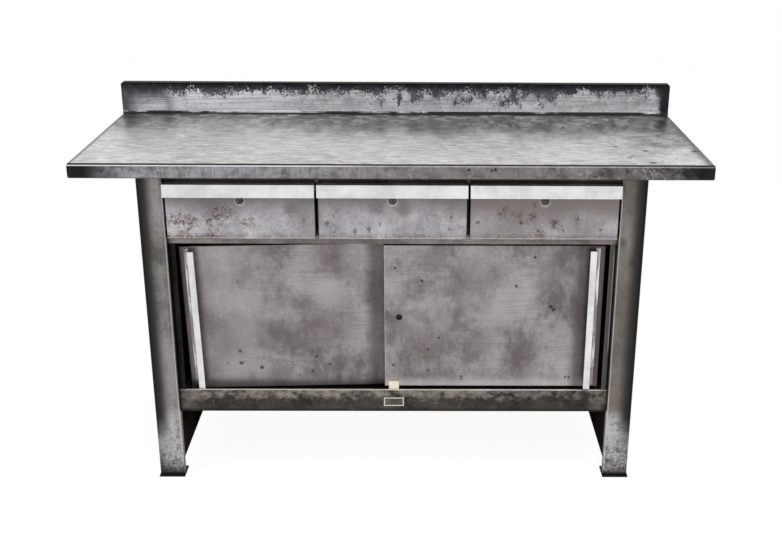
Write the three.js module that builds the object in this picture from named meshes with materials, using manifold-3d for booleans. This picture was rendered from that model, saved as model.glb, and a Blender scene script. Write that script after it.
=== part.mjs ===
// A steel workbench: a folded worktop with a backsplash on two end frames, three drawers,
// and a cupboard below them closed by two top-hung sliding doors that pass each other.
// Millimetres, +Z up, front towards -Y. The origin is on the floor under the worktop's middle.

import * as THREE from 'three';
import { mergeVertices } from 'three/addons/utils/BufferGeometryUtils.js';
import Module from 'manifold-3d';

const wasm = await Module();
wasm.setup();

// Worktop and backsplash
const TOP_WIDTH = 1524;
const TOP_DEPTH = 584;
const TOP_HEIGHT = 864; // floor to work surface
const TOP_SHEET = 2.5;
const TOP_SKIRT = 37; // height of the folded edge
const TOP_RETURN = 14; // lip folded inwards under the skirt
const TOP_EDGE_RADIUS = 5;
const SPLASH_HEIGHT = 85;
const SPLASH_DEPTH = 25;
const SPLASH_SHEET = 2;
const SPLASH_COVE = 8;
const SPLASH_CORNER = 6;

// End frames and what carries the worktop
const TOP_OVERHANG = 144; // worktop's end to the legs
const LEG_WIDTH = 63;
const LEG_DEPTH = 50; // outer flange of the leg channel
const LEG_RETURN = 28; // inner flange of the leg channel
const LEG_SHEET = 3;
const LEG_BEND = 7;
const LEG_SETBACK = 51; // worktop's front edge to the front legs
const REAR_SETBACK = 32; // worktop's rear edge to the rear legs
const FOOT_PLATE = 4;
const FOOT_LEDGE = 2; // foot plate beyond the leg
const FOOT_BOLT_HOLE = 14;
const BEARER_SHEET = 2.5;
const STIFFENER_WIDTH = 60;
const END_PANEL_LIFT = 45; // floor to the end panels

// Cabinet shell
const PANEL_SHEET = 1.5;
const PANEL_FOLD = 15;
const RAIL_SHEET = 2;
const RAIL_FLANGE = 40;
const RAIL_HEM = 5; // lip along the bottom rail's top edge
const CABINET_SETBACK = 30; // front of the legs to the rails
const TOP_RAIL_HEIGHT = 30;
const MID_RAIL_HEIGHT = 24;
const BOTTOM_RAIL_HEIGHT = 63;
const DOOR_OPENING_HEIGHT = 400;
const STILE_WIDTH = 15;
const STILE_FLANGE = 25;
const FLOOR_DROP = 20; // bottom rail's top edge to the cabinet floor
const NAMEPLATE_WIDTH = 52;
const NAMEPLATE_HEIGHT = 24;
const NAMEPLATE_SHEET = 1;

// Drawers
const DRAWER_NAMES = ['left', 'centre', 'right'];
const DRAWER_FRONT_HEIGHT = 144;
const DRAWER_FRONT_GAP = 8; // between neighbouring fronts
const DRAWER_TOP_GAP = 22; // top of the legs to the fronts
const DRAWER_FACE_SETBACK = 2; // front of the legs to the drawer faces
const DRAWER_LAP = 4; // fronts over the mid rail
const DRAWER_SHEET = 1.5;
const DRAWER_EDGE_RADIUS = 3;
const DRAWER_STOP_GAP = 1; // closed fronts to the rails
const TRAY_HEIGHT = 116;
const TRAY_SIDE_GAP = 17; // tray wall to the middle of the partition beside it
const TRAY_FLANGE = 10;
const TRAY_LIFT = 3; // tray above the deck
const TRAY_REAR_GAP = 20;
const RUNNER_HEIGHT = 9;
const RUNNER_REACH = 13;
const DRAWER_PULL_HEIGHT = 33;
const DRAWER_PULL_REACH = 21; // drawer face to the front of the pull
const DRAWER_PULL_BASE = 20; // flange screwed to the drawer face
const DRAWER_PULL_GAP = 6; // between neighbouring pulls
const PULL_WALL = 2;
const LOCK_DIAMETER = 19;
const LOCK_DROP = 45; // below the top of the drawer front
const LOCK_CAM_LENGTH = 45;
const LOCK_CAM_WIDTH = 12;
const LOCK_CAM_SHEET = 3;

// Sliding doors, with the right one in the front lane
const DOOR_THICKNESS = 16;
const DOOR_SHEET = 1.5;
const DOOR_EDGE_RADIUS = 3;
const DOOR_LIP = 14; // edge folded round at the back of the door
const DOOR_SETBACK = 12; // rails to the face of the front door
const DOOR_LANE = 22; // front door's face to the rear door's face
const DOOR_SIDE_GAP = 8; // closed door to its stile
const DOOR_OVERLAP = 48;
const DOOR_BOTTOM_GAP = 4; // bottom rail's top edge to the doors
const DOOR_TOP_GAP = 7; // doors to the mid rail
const LEFT_DOOR_SAG = 1.3; // degrees that the left door hangs out of level
const LEFT_DOOR_DROP = 4; // left door's lower edge below the right one's
const DOOR_LOCK_HOLE = 17;
const DOOR_LOCK_INSET = 38; // from the front door's inner edge
const DOOR_PULL_INSET = 14; // door's outer edge to its pull
const DOOR_PULL_MARGIN = 6.5; // above and below the pull
const DOOR_PULL_BASE = 13;
const DOOR_PULL_REACH = 26;
const DOOR_PULL_GRIP = 15;
const TRACK_SHEET = 2;
const TRACK_HEIGHT = 20;
const TRACK_LIP = 11;
const TRACK_INSET = 3; // door's face to the web of its track
const HANGER_SHEET = 2;
const HANGER_WIDTH = 40;
const HANGER_LAP = 36; // hanger down the back of the door
const HANGER_INSET = 90; // door's side edge to the middle of a hanger
const HANGER_HEAD = 6; // hanger above the roller's axis
const ROLLER_RADIUS = 7;
const ROLLER_WIDTH = 7;
const HUB_RADIUS = 3.5;
const AXLE_RADIUS = 2;
const GUIDE_WIDTH = 26;
const GUIDE_HEIGHT = 40;
const GUIDE_BASE = 4;
const GUIDE_FINGER = 4; // rear finger of the guide block

// Shared fits and facets
const SEAT = 0.3; // gap between two pieces that bear on each other
const RUN = 1; // gap between two pieces that slide past each other
const CUT = 5; // how far a cutting shape runs past the surface
const BEND_STEPS = 3;
const ROUND_STEPS = 24;

// Heights, from the worktop down
const topUnder = TOP_HEIGHT - TOP_SHEET;
const legTop = TOP_HEIGHT - TOP_SKIRT;
const topRailTop = legTop - SEAT;
const frontTop = legTop - DRAWER_TOP_GAP;
const frontBottom = frontTop - DRAWER_FRONT_HEIGHT;
const midTop = frontBottom + DRAWER_LAP;
const midBottom = midTop - MID_RAIL_HEIGHT;
const bottomRailTop = midBottom - DOOR_OPENING_HEIGHT;
const bottomRailBottom = bottomRailTop - BOTTOM_RAIL_HEIGHT;
const floorTop = bottomRailTop - FLOOR_DROP;
const deckTop = midTop + SEAT + PANEL_SHEET;
const trayBottom = deckTop + TRAY_LIFT;
const trayTop = trayBottom + TRAY_HEIGHT;
const lockZ = frontTop - LOCK_DROP;
const doorBottom = bottomRailTop + DOOR_BOTTOM_GAP;
const doorTop = midBottom - DOOR_TOP_GAP;
const trackTop = midTop - RAIL_SHEET - SEAT;
const trackBottom = trackTop - TRACK_HEIGHT;
const rollerZ = trackBottom + TRACK_SHEET + SEAT + ROLLER_RADIUS;

// Depths, from the front back
const topFront = -TOP_DEPTH / 2;
const topRear = TOP_DEPTH / 2;
const legFront = topFront + LEG_SETBACK;
const legRear = topRear - REAR_SETBACK;
const railFront = legFront + CABINET_SETBACK;
const behindRail = railFront + 2 * RAIL_SHEET + SEAT; // clear of the rails' bends
const drawerFace = legFront + DRAWER_FACE_SETBACK;
const trayFront = railFront - DRAWER_STOP_GAP + SEAT;
const backRear = legRear - LEG_RETURN - SEAT;
const backFront = backRear - PANEL_SHEET;
const trayRear = backFront - TRAY_REAR_GAP;
const doorFace = [railFront + DOOR_SETBACK, railFront + DOOR_SETBACK + DOOR_LANE];
const doorBack = doorFace.map((face) => face + DOOR_THICKNESS);
const hangerFront = doorBack.map((back) => back + SEAT);
const guideFront = railFront + RAIL_HEM + SEAT;

// Widths, from the middle out
const bayHalf = TOP_WIDTH / 2 - TOP_OVERHANG - LEG_WIDTH; // to the legs
const shellHalf = bayHalf - SEAT; // cabinet pieces that run from end panel to end panel
const legOuter = bayHalf + LEG_WIDTH;
const drawerPitch = (2 * bayHalf) / DRAWER_NAMES.length;
const trayHalf = drawerPitch / 2 - TRAY_SIDE_GAP;
const doorOuter = bayHalf - STILE_WIDTH - DOOR_SIDE_GAP;
const doorWidth = doorOuter + DOOR_OVERLAP / 2;

const BRUSHED_STEEL = { color: 0x8f8d8b, roughness: 0.45, metalness: 0.9 };
const WORN_STEEL = { color: 0xa9a7a4, roughness: 0.4, metalness: 0.9 };
const DARK_STEEL = { color: 0x4d4a48, roughness: 0.55, metalness: 0.85 };
const BRIGHT_ALUMINIUM = { color: 0xdedddb, roughness: 0.3, metalness: 0.9 };
const CREAM_NYLON = { color: 0xefe6cf, roughness: 0.55, metalness: 0 };

const X_AXIS = new THREE.Vector3(1, 0, 0);
const Y_AXIS = new THREE.Vector3(0, 1, 0);
const Z_AXIS = new THREE.Vector3(0, 0, 1);

function addPiece(parent, name, geometry, finish) {
  const mesh = new THREE.Mesh(geometry, new THREE.MeshStandardMaterial(finish));
  mesh.name = name;
  parent.add(mesh);
  return mesh;
}

function box(x0, x1, y0, y1, z0, z1) {
  const geometry = new THREE.BoxGeometry(x1 - x0, y1 - y0, z1 - z0);
  return geometry.translate((x0 + x1) / 2, (y0 + y1) / 2, (z0 + z1) / 2);
}

// A shape drawn in (y, z), drawn out from x0 to x1.
function alongX(shape, x0, x1) {
  const geometry = new THREE.ExtrudeGeometry(shape, { depth: x1 - x0, bevelEnabled: false });
  geometry.applyMatrix4(new THREE.Matrix4().makeBasis(Y_AXIS, Z_AXIS, X_AXIS));
  return geometry.translate(x0, 0, 0);
}

// A shape drawn in (x, z), drawn out from y0 to y1.
function alongY(shape, y0, y1) {
  const geometry = new THREE.ExtrudeGeometry(shape, { depth: y1 - y0, bevelEnabled: false });
  geometry.applyMatrix4(new THREE.Matrix4().makeBasis(X_AXIS, Z_AXIS, Y_AXIS.clone().negate()));
  return geometry.translate(0, y1, 0);
}

// A shape drawn in (x, y), drawn out from z0 to z1.
function alongZ(shape, z0, z1) {
  const geometry = new THREE.ExtrudeGeometry(shape, { depth: z1 - z0, bevelEnabled: false });
  return geometry.translate(0, 0, z0);
}

function roundBarY(radius, y0, y1) {
  const geometry = new THREE.CylinderGeometry(radius, radius, y1 - y0, ROUND_STEPS);
  return geometry.translate(0, (y0 + y1) / 2, 0);
}

function leftOf(direction) {
  return new THREE.Vector2(-direction.y, direction.x);
}

function heading(from, to) {
  return to.clone().sub(from).normalize();
}

// The line's copy at a distance to its left, with mitred corners.
function offsetLine(points, distance) {
  return points.map((point, i) => {
    const into = i > 0 ? heading(points[i - 1], point) : heading(point, points[i + 1]);
    const out = i < points.length - 1 ? heading(point, points[i + 1]) : into;
    const mitre = leftOf(into).add(leftOf(out));
    return point.clone().addScaledVector(mitre, (2 * distance) / mitre.lengthSq());
  });
}

// The line with each inner corner as an arc of the radius that radiusOf gives for its turn.
function roundCorners(points, radiusOf) {
  const line = [points[0]];
  for (let i = 1; i < points.length - 1; i += 1) {
    const into = heading(points[i - 1], points[i]);
    const out = heading(points[i], points[i + 1]);
    const turn = Math.atan2(into.cross(out), into.dot(out));
    const radius = radiusOf(turn);
    const start = points[i].clone().addScaledVector(into, -radius * Math.tan(Math.abs(turn) / 2));
    const centre = start.clone().addScaledVector(leftOf(into), Math.sign(turn) * radius);
    for (let step = 0; step <= BEND_STEPS; step += 1) {
      line.push(start.clone().rotateAround(centre, (turn * step) / BEND_STEPS));
    }
  }
  line.push(points[points.length - 1]);
  return line;
}

// The section of a folded sheet: one face runs through the corners, and the wall lies to the
// left of it, or to the right where the wall is negative. Bends have the outer radius given.
function foldedSheet(corners, wall, bend = 2 * Math.abs(wall)) {
  const face = corners.map(([u, v]) => new THREE.Vector2(u, v));
  const outside = (turn) => (Math.sign(turn) === Math.sign(wall) ? bend : bend - Math.abs(wall));
  const inside = (turn) => (Math.sign(turn) === Math.sign(wall) ? bend - Math.abs(wall) : bend);
  const near = roundCorners(face, outside);
  const far = roundCorners(offsetLine(face, wall), inside);
  return new THREE.Shape([...near, ...far.reverse()]);
}

function outline(points) {
  return new THREE.Shape(points.map(([u, v]) => new THREE.Vector2(u, v)));
}

function rectangle(u0, u1, v0, v1) {
  return outline([[u0, v0], [u1, v0], [u1, v1], [u0, v1]]);
}

function toSolid(geometry) {
  const bare = geometry.clone();
  bare.deleteAttribute('normal');
  bare.deleteAttribute('uv');
  const merged = mergeVertices(bare);
  const vertProperties = Float32Array.from(merged.attributes.position.array);
  const triVerts = Uint32Array.from(merged.index.array);
  return new wasm.Manifold(new wasm.Mesh({ numProp: 3, vertProperties, triVerts }));
}

function toGeometry(solid) {
  const { vertProperties, triVerts } = solid.getMesh();
  const geometry = new THREE.BufferGeometry();
  geometry.setAttribute('position', new THREE.BufferAttribute(vertProperties, 3));
  geometry.setIndex(new THREE.BufferAttribute(triVerts, 1));
  geometry.computeVertexNormals();
  return geometry;
}

function cut(geometry, cutters) {
  const start = toSolid(geometry);
  return toGeometry(cutters.reduce((solid, cutter) => solid.subtract(toSolid(cutter)), start));
}

function join(geometry, others) {
  const start = toSolid(geometry);
  return toGeometry(others.reduce((solid, other) => solid.add(toSolid(other)), start));
}

// A block whose edges along one pair of faces are rounded, standing on z = 0.
function roundedSlab(width, depth, height, radius) {
  const geometry = new THREE.ExtrudeGeometry(rectangle(-width / 2, width / 2, -depth / 2, depth / 2), {
    depth: height - 2 * radius,
    bevelThickness: radius,
    bevelSize: radius,
    bevelOffset: -radius,
    bevelSegments: BEND_STEPS,
  });
  return geometry.translate(0, 0, radius);
}

// A folded pan that faces -Y, with its back open inside a lip. Its lower left face corner is at
// the origin.
function facePan(width, height, depth, sheet, lip, radius) {
  const block = roundedSlab(width, height, depth, radius);
  block.rotateX(Math.PI / 2).translate(width / 2, depth, height / 2);
  return cut(block, [
    box(sheet, width - sheet, sheet, depth - sheet, sheet, height - sheet),
    box(lip, width - lip, depth / 2, depth + CUT, lip, height - lip),
  ]);
}

function makeWorktop(bench) {
  const halfWidth = TOP_WIDTH / 2;
  const slab = roundedSlab(TOP_WIDTH, TOP_DEPTH, TOP_SKIRT, TOP_EDGE_RADIUS).translate(0, 0, legTop);
  const hollow = [TOP_SHEET, TOP_SHEET + TOP_RETURN];
  const [wide, narrow] = hollow.map((inset) => [halfWidth - inset, topFront + inset, topRear - inset]);
  const pan = cut(slab, [
    box(-wide[0], wide[0], wide[1], wide[2], legTop + TOP_SHEET, topUnder),
    box(-narrow[0], narrow[0], narrow[1], narrow[2], legTop - CUT, topUnder),
  ]);
  addPiece(bench, 'worktop', pan, WORN_STEEL);
}

// A hollow box section with closed ends, open to the worktop, with a cove along its front foot.
function makeBacksplash(bench) {
  const face = topRear - SPLASH_DEPTH;
  const foot = TOP_HEIGHT + SEAT;
  const top = TOP_HEIGHT + SPLASH_HEIGHT;
  const half = TOP_WIDTH / 2;
  const cove = [];
  for (let step = 0; step <= BEND_STEPS; step += 1) {
    const angle = (Math.PI / 2) * (step / BEND_STEPS);
    cove.push([face - SPLASH_COVE * (1 - Math.sin(angle)), foot + SPLASH_COVE * (1 - Math.cos(angle))]);
  }
  const section = outline([[topRear, foot], [topRear, top], [face, top], ...cove.reverse()]);
  const corners = [[-half, foot - CUT], [-half, top], [half, top], [half, foot - CUT]];
  const frame = roundCorners(corners.map(([x, z]) => new THREE.Vector2(x, z)), () => SPLASH_CORNER);
  const length = toSolid(alongX(section, -half, half));
  const ends = toSolid(alongY(new THREE.Shape(frame), face - SPLASH_COVE - CUT, topRear + CUT));
  const inner = half - SPLASH_SHEET;
  const hollow = box(
    -inner, inner,
    face + SPLASH_SHEET, topRear - SPLASH_SHEET,
    foot - CUT, top - SPLASH_SHEET,
  );
  addPiece(bench, 'backsplash', toGeometry(length.intersect(ends).subtract(toSolid(hollow))), WORN_STEEL);
}

function makeLeg(bench, name, side, end) {
  const face = end > 0 ? legFront : legRear;
  const inner = side * bayHalf;
  const outer = side * legOuter;
  const section = foldedSheet([
    [inner, face + end * LEG_RETURN],
    [inner, face],
    [outer, face],
    [outer, face + end * LEG_DEPTH],
  ], side * end * LEG_SHEET, LEG_BEND);
  addPiece(bench, `${name}_leg`, alongZ(section, FOOT_PLATE + SEAT, legTop), BRUSHED_STEEL);

  const ys = [face - end * FOOT_LEDGE, face + end * (LEG_DEPTH + FOOT_LEDGE)].sort((a, b) => a - b);
  const xs = [inner - side * FOOT_LEDGE, outer + side * FOOT_LEDGE].sort((a, b) => a - b);
  const plate = rectangle(xs[0], xs[1], ys[0], ys[1]);
  const hole = new THREE.Path();
  hole.absarc((xs[0] + xs[1]) / 2, (ys[0] + ys[1]) / 2, FOOT_BOLT_HOLE / 2, 0, 2 * Math.PI, true);
  plate.holes.push(hole);
  addPiece(bench, `${name}_foot_plate`, alongZ(plate, 0, FOOT_PLATE), DARK_STEEL);
}

function makeEndFrame(bench, name, side) {
  makeLeg(bench, `${name}_front`, side, 1);
  makeLeg(bench, `${name}_rear`, side, -1);

  const xs = [side * bayHalf, side * (bayHalf + PANEL_SHEET)].sort((a, b) => a - b);
  const panelFront = legFront + LEG_RETURN + SEAT;
  const panel = box(xs[0], xs[1], panelFront, backRear, END_PANEL_LIFT, legTop - SEAT);
  addPiece(bench, `${name}_end_panel`, panel, DARK_STEEL);

  const bearer = foldedSheet([
    [side * bayHalf, legTop + SEAT],
    [side * bayHalf, topUnder - SEAT],
    [side * legOuter, topUnder - SEAT],
    [side * legOuter, legTop + SEAT],
  ], -side * BEARER_SHEET);
  addPiece(bench, `${name}_bearer`, alongY(bearer, legFront, legRear), DARK_STEEL);
}

function makeStiffener(bench, name, front) {
  const rear = front + STIFFENER_WIDTH;
  const section = foldedSheet([
    [front, legTop + SEAT],
    [front, topUnder - SEAT],
    [rear, topUnder - SEAT],
    [rear, legTop + SEAT],
  ], -BEARER_SHEET);
  addPiece(bench, name, alongX(section, -shellHalf, shellHalf), DARK_STEEL);
}

function makeRails(bench) {
  const flangeRear = railFront + RAIL_FLANGE;
  const topRail = foldedSheet([
    [railFront, topRailTop - TOP_RAIL_HEIGHT],
    [railFront, topRailTop],
    [flangeRear, topRailTop],
  ], -RAIL_SHEET);
  addPiece(bench, 'top_rail', alongX(topRail, -shellHalf, shellHalf), DARK_STEEL);

  const midRail = foldedSheet([
    [railFront, midBottom],
    [railFront, midTop],
    [flangeRear, midTop],
  ], -RAIL_SHEET);
  addPiece(bench, 'mid_rail', alongX(midRail, -shellHalf, shellHalf), BRUSHED_STEEL);

  const bottomRail = foldedSheet([
    [flangeRear, bottomRailBottom],
    [railFront, bottomRailBottom],
    [railFront, bottomRailTop],
    [railFront + RAIL_HEM, bottomRailTop],
  ], -RAIL_SHEET, RAIL_SHEET);
  addPiece(bench, 'bottom_rail', alongX(bottomRail, -shellHalf, shellHalf), BRUSHED_STEEL);
}

function makeStile(bench, name, side) {
  const section = foldedSheet([
    [side * (bayHalf - STILE_WIDTH), railFront],
    [side * shellHalf, railFront],
    [side * shellHalf, railFront + STILE_FLANGE],
  ], side * PANEL_SHEET);
  addPiece(bench, name, alongZ(section, bottomRailTop + SEAT, midBottom - SEAT), BRUSHED_STEEL);
}

function makePanels(bench) {
  const back = foldedSheet([
    [backRear - PANEL_FOLD, bottomRailBottom],
    [backRear, bottomRailBottom],
    [backRear, legTop - SEAT],
  ], PANEL_SHEET);
  addPiece(bench, 'back_panel', alongX(back, -shellHalf, shellHalf), DARK_STEEL);

  const floor = foldedSheet([
    [-shellHalf, floorTop - PANEL_FOLD],
    [-shellHalf, floorTop],
    [shellHalf, floorTop],
    [shellHalf, floorTop - PANEL_FOLD],
  ], -PANEL_SHEET);
  const floorFront = railFront + RAIL_SHEET + SEAT;
  addPiece(bench, 'cabinet_floor', alongY(floor, floorFront, backFront - SEAT), BRUSHED_STEEL);

  const deck = box(-shellHalf, shellHalf, railFront, backFront - SEAT, midTop + SEAT, deckTop);
  addPiece(bench, 'drawer_deck', deck, DARK_STEEL);
}

// A partition between two drawers, folded outwards where it stands on the deck.
function makeDivider(bench, name, side) {
  const face = side * (drawerPitch / 2 - PANEL_SHEET / 2);
  const foot = deckTop + SEAT;
  const section = foldedSheet([
    [face + side * PANEL_FOLD, foot],
    [face, foot],
    [face, topRailTop - RAIL_SHEET - SEAT],
  ], -side * PANEL_SHEET);
  addPiece(bench, name, alongY(section, behindRail, backFront - SEAT), DARK_STEEL);
}

// A channel on the wall beside a drawer. The flange along the tray's top edge runs inside it.
function makeRunner(bench, name, wall, inwards) {
  const tip = wall + inwards * RUNNER_REACH;
  const bottom = trayTop - DRAWER_SHEET - SEAT - PANEL_SHEET;
  const section = foldedSheet([
    [tip, bottom],
    [wall, bottom],
    [wall, bottom + RUNNER_HEIGHT],
    [tip, bottom + RUNNER_HEIGHT],
  ], -inwards * PANEL_SHEET);
  addPiece(bench, name, alongY(section, behindRail, backFront - SEAT), DARK_STEEL);
}

function makeNameplate(bench) {
  const middle = (bottomRailTop + bottomRailBottom) / 2 - (RAIL_HEM - RAIL_SHEET);
  const plate = box(
    -NAMEPLATE_WIDTH / 2, NAMEPLATE_WIDTH / 2,
    railFront - SEAT - NAMEPLATE_SHEET, railFront - SEAT,
    middle - NAMEPLATE_HEIGHT / 2, middle + NAMEPLATE_HEIGHT / 2,
  );
  addPiece(bench, 'nameplate', plate, BRIGHT_ALUMINIUM);
}

// The tray is one folded box, with a flange along each side's top edge that rides in a runner.
// Its front wall is low, to clear the lock.
function makeTray() {
  const half = trayHalf - DRAWER_SHEET;
  const block = box(-trayHalf, trayHalf, trayFront, trayRear, trayBottom, trayTop);
  const flangeHalf = trayHalf + TRAY_FLANGE;
  const flangeFront = railFront + RAIL_SHEET + RUN;
  const rim = box(-flangeHalf, flangeHalf, flangeFront, trayRear, trayTop - DRAWER_SHEET, trayTop);
  const inside = box(
    -half, half,
    trayFront + DRAWER_SHEET, trayRear - DRAWER_SHEET,
    trayBottom + DRAWER_SHEET, trayTop + CUT,
  );
  const frontWallTop = lockZ - LOCK_DIAMETER / 2 - RUN;
  const overFrontWall = box(-half, half, trayFront - CUT, trayFront + CUT, frontWallTop, trayTop + CUT);
  return cut(join(block, [rim]), [inside, overFrontWall]);
}

function makeDrawerFront() {
  const width = drawerPitch - DRAWER_FRONT_GAP;
  const depth = trayFront - SEAT - drawerFace;
  const lip = PANEL_FOLD;
  const pan = facePan(width, DRAWER_FRONT_HEIGHT, depth, DRAWER_SHEET, lip, DRAWER_EDGE_RADIUS);
  pan.translate(-width / 2, drawerFace, frontBottom);
  const hole = roundBarY(LOCK_DIAMETER / 2 + SEAT, drawerFace - CUT, drawerFace + CUT);
  return cut(pan, [hole.translate(0, 0, lockZ)]);
}

// A bright strip along the top of the drawer: a flange on the face, a shelf, and a lip to grip.
function makeDrawerPull() {
  const base = drawerFace - SEAT;
  const front = drawerFace - DRAWER_PULL_REACH;
  const section = foldedSheet([
    [base, frontTop - DRAWER_PULL_BASE],
    [base, frontTop],
    [front, frontTop],
    [front, frontTop - DRAWER_PULL_HEIGHT],
  ], PULL_WALL, PULL_WALL);
  const half = (drawerPitch - DRAWER_PULL_GAP) / 2;
  return alongX(section, -half, half);
}

// The lock's barrel and its cam, which lies level while the drawer is unlocked.
function makeLock() {
  const camFront = railFront + RAIL_SHEET + RUN;
  const camRear = camFront + LOCK_CAM_SHEET;
  const barrel = roundBarY(LOCK_DIAMETER / 2, drawerFace, camFront + LOCK_CAM_SHEET / 2);
  const halfWidth = LOCK_CAM_WIDTH / 2;
  const cam = box(-halfWidth, LOCK_CAM_LENGTH, camFront, camRear, -halfWidth, halfWidth);
  return join(barrel, [cam]);
}

function makeDrawer(bench, name, middle) {
  const drawer = new THREE.Group();
  drawer.position.x = middle;
  addPiece(drawer, `${name}_drawer_tray`, makeTray(), DARK_STEEL);
  addPiece(drawer, `${name}_drawer_front`, makeDrawerFront(), BRUSHED_STEEL);
  addPiece(drawer, `${name}_drawer_pull`, makeDrawerPull(), BRIGHT_ALUMINIUM);
  const lock = addPiece(drawer, `${name}_drawer_lock`, makeLock(), DARK_STEEL);
  lock.position.z = lockZ;
  bench.add(drawer);
}

// Two J-shaped tracks side by side under one plate. Each web stands in front of its rollers.
function makeTrack(bench) {
  const under = trackTop - TRACK_SHEET;
  const lipTop = trackBottom + TRACK_SHEET;
  const lanes = doorFace.flatMap((face) => {
    const web = face + TRACK_INSET;
    return [
      [web, under],
      [web, trackBottom],
      [web + TRACK_LIP, trackBottom],
      [web + TRACK_LIP, lipTop],
      [web + TRACK_SHEET, lipTop],
      [web + TRACK_SHEET, under],
    ];
  });
  const rear = hangerFront[1] + HANGER_SHEET + HUB_RADIUS;
  const plateFront = [[behindRail, trackTop], [behindRail, under]];
  const section = outline([...plateFront, ...lanes, [rear, under], [rear, trackTop]]);
  addPiece(bench, 'door_track', alongX(section, -shellHalf, shellHalf), DARK_STEEL);
}

// A block with three fingers on the cabinet floor. The doors' lower edges run between them.
function makeGuide(bench) {
  const base = floorTop + SEAT;
  const slotFloor = base + GUIDE_BASE;
  const tip = base + GUIDE_HEIGHT;
  const slots = doorFace.flatMap((face, lane) => [
    [face - RUN, tip],
    [face - RUN, slotFloor],
    [doorBack[lane] + RUN, slotFloor],
    [doorBack[lane] + RUN, tip],
  ]);
  const rear = doorBack[1] + RUN + GUIDE_FINGER;
  const front = [[guideFront, base], [guideFront, tip]];
  const section = outline([...front, ...slots, [rear, tip], [rear, base]]);
  addPiece(bench, 'door_guide', alongX(section, -GUIDE_WIDTH / 2, GUIDE_WIDTH / 2), CREAM_NYLON);
}

// A bright strip of Z section. Its lip opens towards the middle of the bench. Both pulls are as
// long as the right door is high, less the margins, and start level with it.
function makeDoorPull(outerEdge, side, face, drop) {
  const base = face - SEAT;
  const grip = base - DOOR_PULL_REACH;
  const foot = outerEdge - side * DOOR_PULL_INSET;
  const web = foot - side * DOOR_PULL_BASE;
  const section = foldedSheet([
    [foot, base],
    [web, base],
    [web, grip],
    [web - side * DOOR_PULL_GRIP, grip],
  ], side * PULL_WALL, PULL_WALL);
  const height = doorTop - doorBottom;
  return alongZ(section, DOOR_PULL_MARGIN + drop, height - DOOR_PULL_MARGIN + drop);
}

function makeHanger(lane) {
  const half = HANGER_WIDTH / 2;
  const plate = rectangle(-half, half, doorTop - HANGER_LAP, rollerZ + HANGER_HEAD);
  const hole = new THREE.Path();
  hole.absarc(0, rollerZ, AXLE_RADIUS + SEAT, 0, 2 * Math.PI, true);
  plate.holes.push(hole);
  return alongY(plate, hangerFront[lane], hangerFront[lane] + HANGER_SHEET);
}

// A wheel, its hub, the axle through the hanger and the axle's head behind it, about the Y axis.
function makeRoller(lane) {
  const hanger = hangerFront[lane];
  const hubEnd = hanger - SEAT;
  const wheelEnd = hubEnd - RUN;
  const headStart = hanger + HANGER_SHEET + SEAT;
  const headEnd = headStart + RUN;
  const profile = [
    [0, wheelEnd - ROLLER_WIDTH],
    [ROLLER_RADIUS, wheelEnd - ROLLER_WIDTH],
    [ROLLER_RADIUS, wheelEnd],
    [HUB_RADIUS, wheelEnd],
    [HUB_RADIUS, hubEnd],
    [AXLE_RADIUS, hubEnd],
    [AXLE_RADIUS, headStart],
    [HUB_RADIUS, headStart],
    [HUB_RADIUS, headEnd],
    [0, headEnd],
  ];
  return new THREE.LatheGeometry(profile.map(([r, y]) => new THREE.Vector2(r, y)), ROUND_STEPS);
}

// The panel and its pull hang in a group about the panel's inner lower corner, which may be out
// of level. The hangers and rollers stay upright in the track.
function makeDoor(bench, name, side, lane, sag, drop) {
  const inner = (-side * DOOR_OVERLAP) / 2;
  const outer = side * doorOuter;
  const bottom = doorBottom - drop;
  const height = doorTop - bottom;
  const leaf = new THREE.Group();
  leaf.position.set(inner, 0, bottom);
  leaf.rotation.y = THREE.MathUtils.degToRad(-sag);

  const left = Math.min(0, side * doorWidth);
  let panel = facePan(doorWidth, height, DOOR_THICKNESS, DOOR_SHEET, DOOR_LIP, DOOR_EDGE_RADIUS);
  panel.translate(left, doorFace[lane], 0);
  if (lane === 0) {
    const hole = roundBarY(DOOR_LOCK_HOLE / 2, doorFace[lane] - CUT, doorFace[lane] + CUT);
    panel = cut(panel, [hole.translate(side * DOOR_LOCK_INSET, 0, height / 2)]);
  }
  addPiece(leaf, `${name}_door`, panel, BRUSHED_STEEL);
  const pull = makeDoorPull(side * doorWidth, side, doorFace[lane], drop);
  addPiece(leaf, `${name}_door_pull`, pull, BRIGHT_ALUMINIUM);
  bench.add(leaf);

  const places = { inner: inner + side * HANGER_INSET, outer: outer - side * HANGER_INSET };
  for (const [place, x] of Object.entries(places)) {
    const hanger = addPiece(bench, `${name}_door_${place}_hanger`, makeHanger(lane), DARK_STEEL);
    hanger.position.x = x;
    const roller = addPiece(bench, `${name}_door_${place}_roller`, makeRoller(lane), DARK_STEEL);
    roller.position.set(x, 0, rollerZ);
  }
}

const workbench = new THREE.Group();
makeWorktop(workbench);
makeBacksplash(workbench);
makeEndFrame(workbench, 'left', -1);
makeEndFrame(workbench, 'right', 1);
makeStiffener(workbench, 'front_stiffener', railFront);
makeStiffener(workbench, 'rear_stiffener', backRear - STIFFENER_WIDTH);
makeRails(workbench);
makeStile(workbench, 'left_stile', -1);
makeStile(workbench, 'right_stile', 1);
makePanels(workbench);
makeDivider(workbench, 'left_divider', -1);
makeDivider(workbench, 'right_divider', 1);
makeNameplate(workbench);

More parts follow.
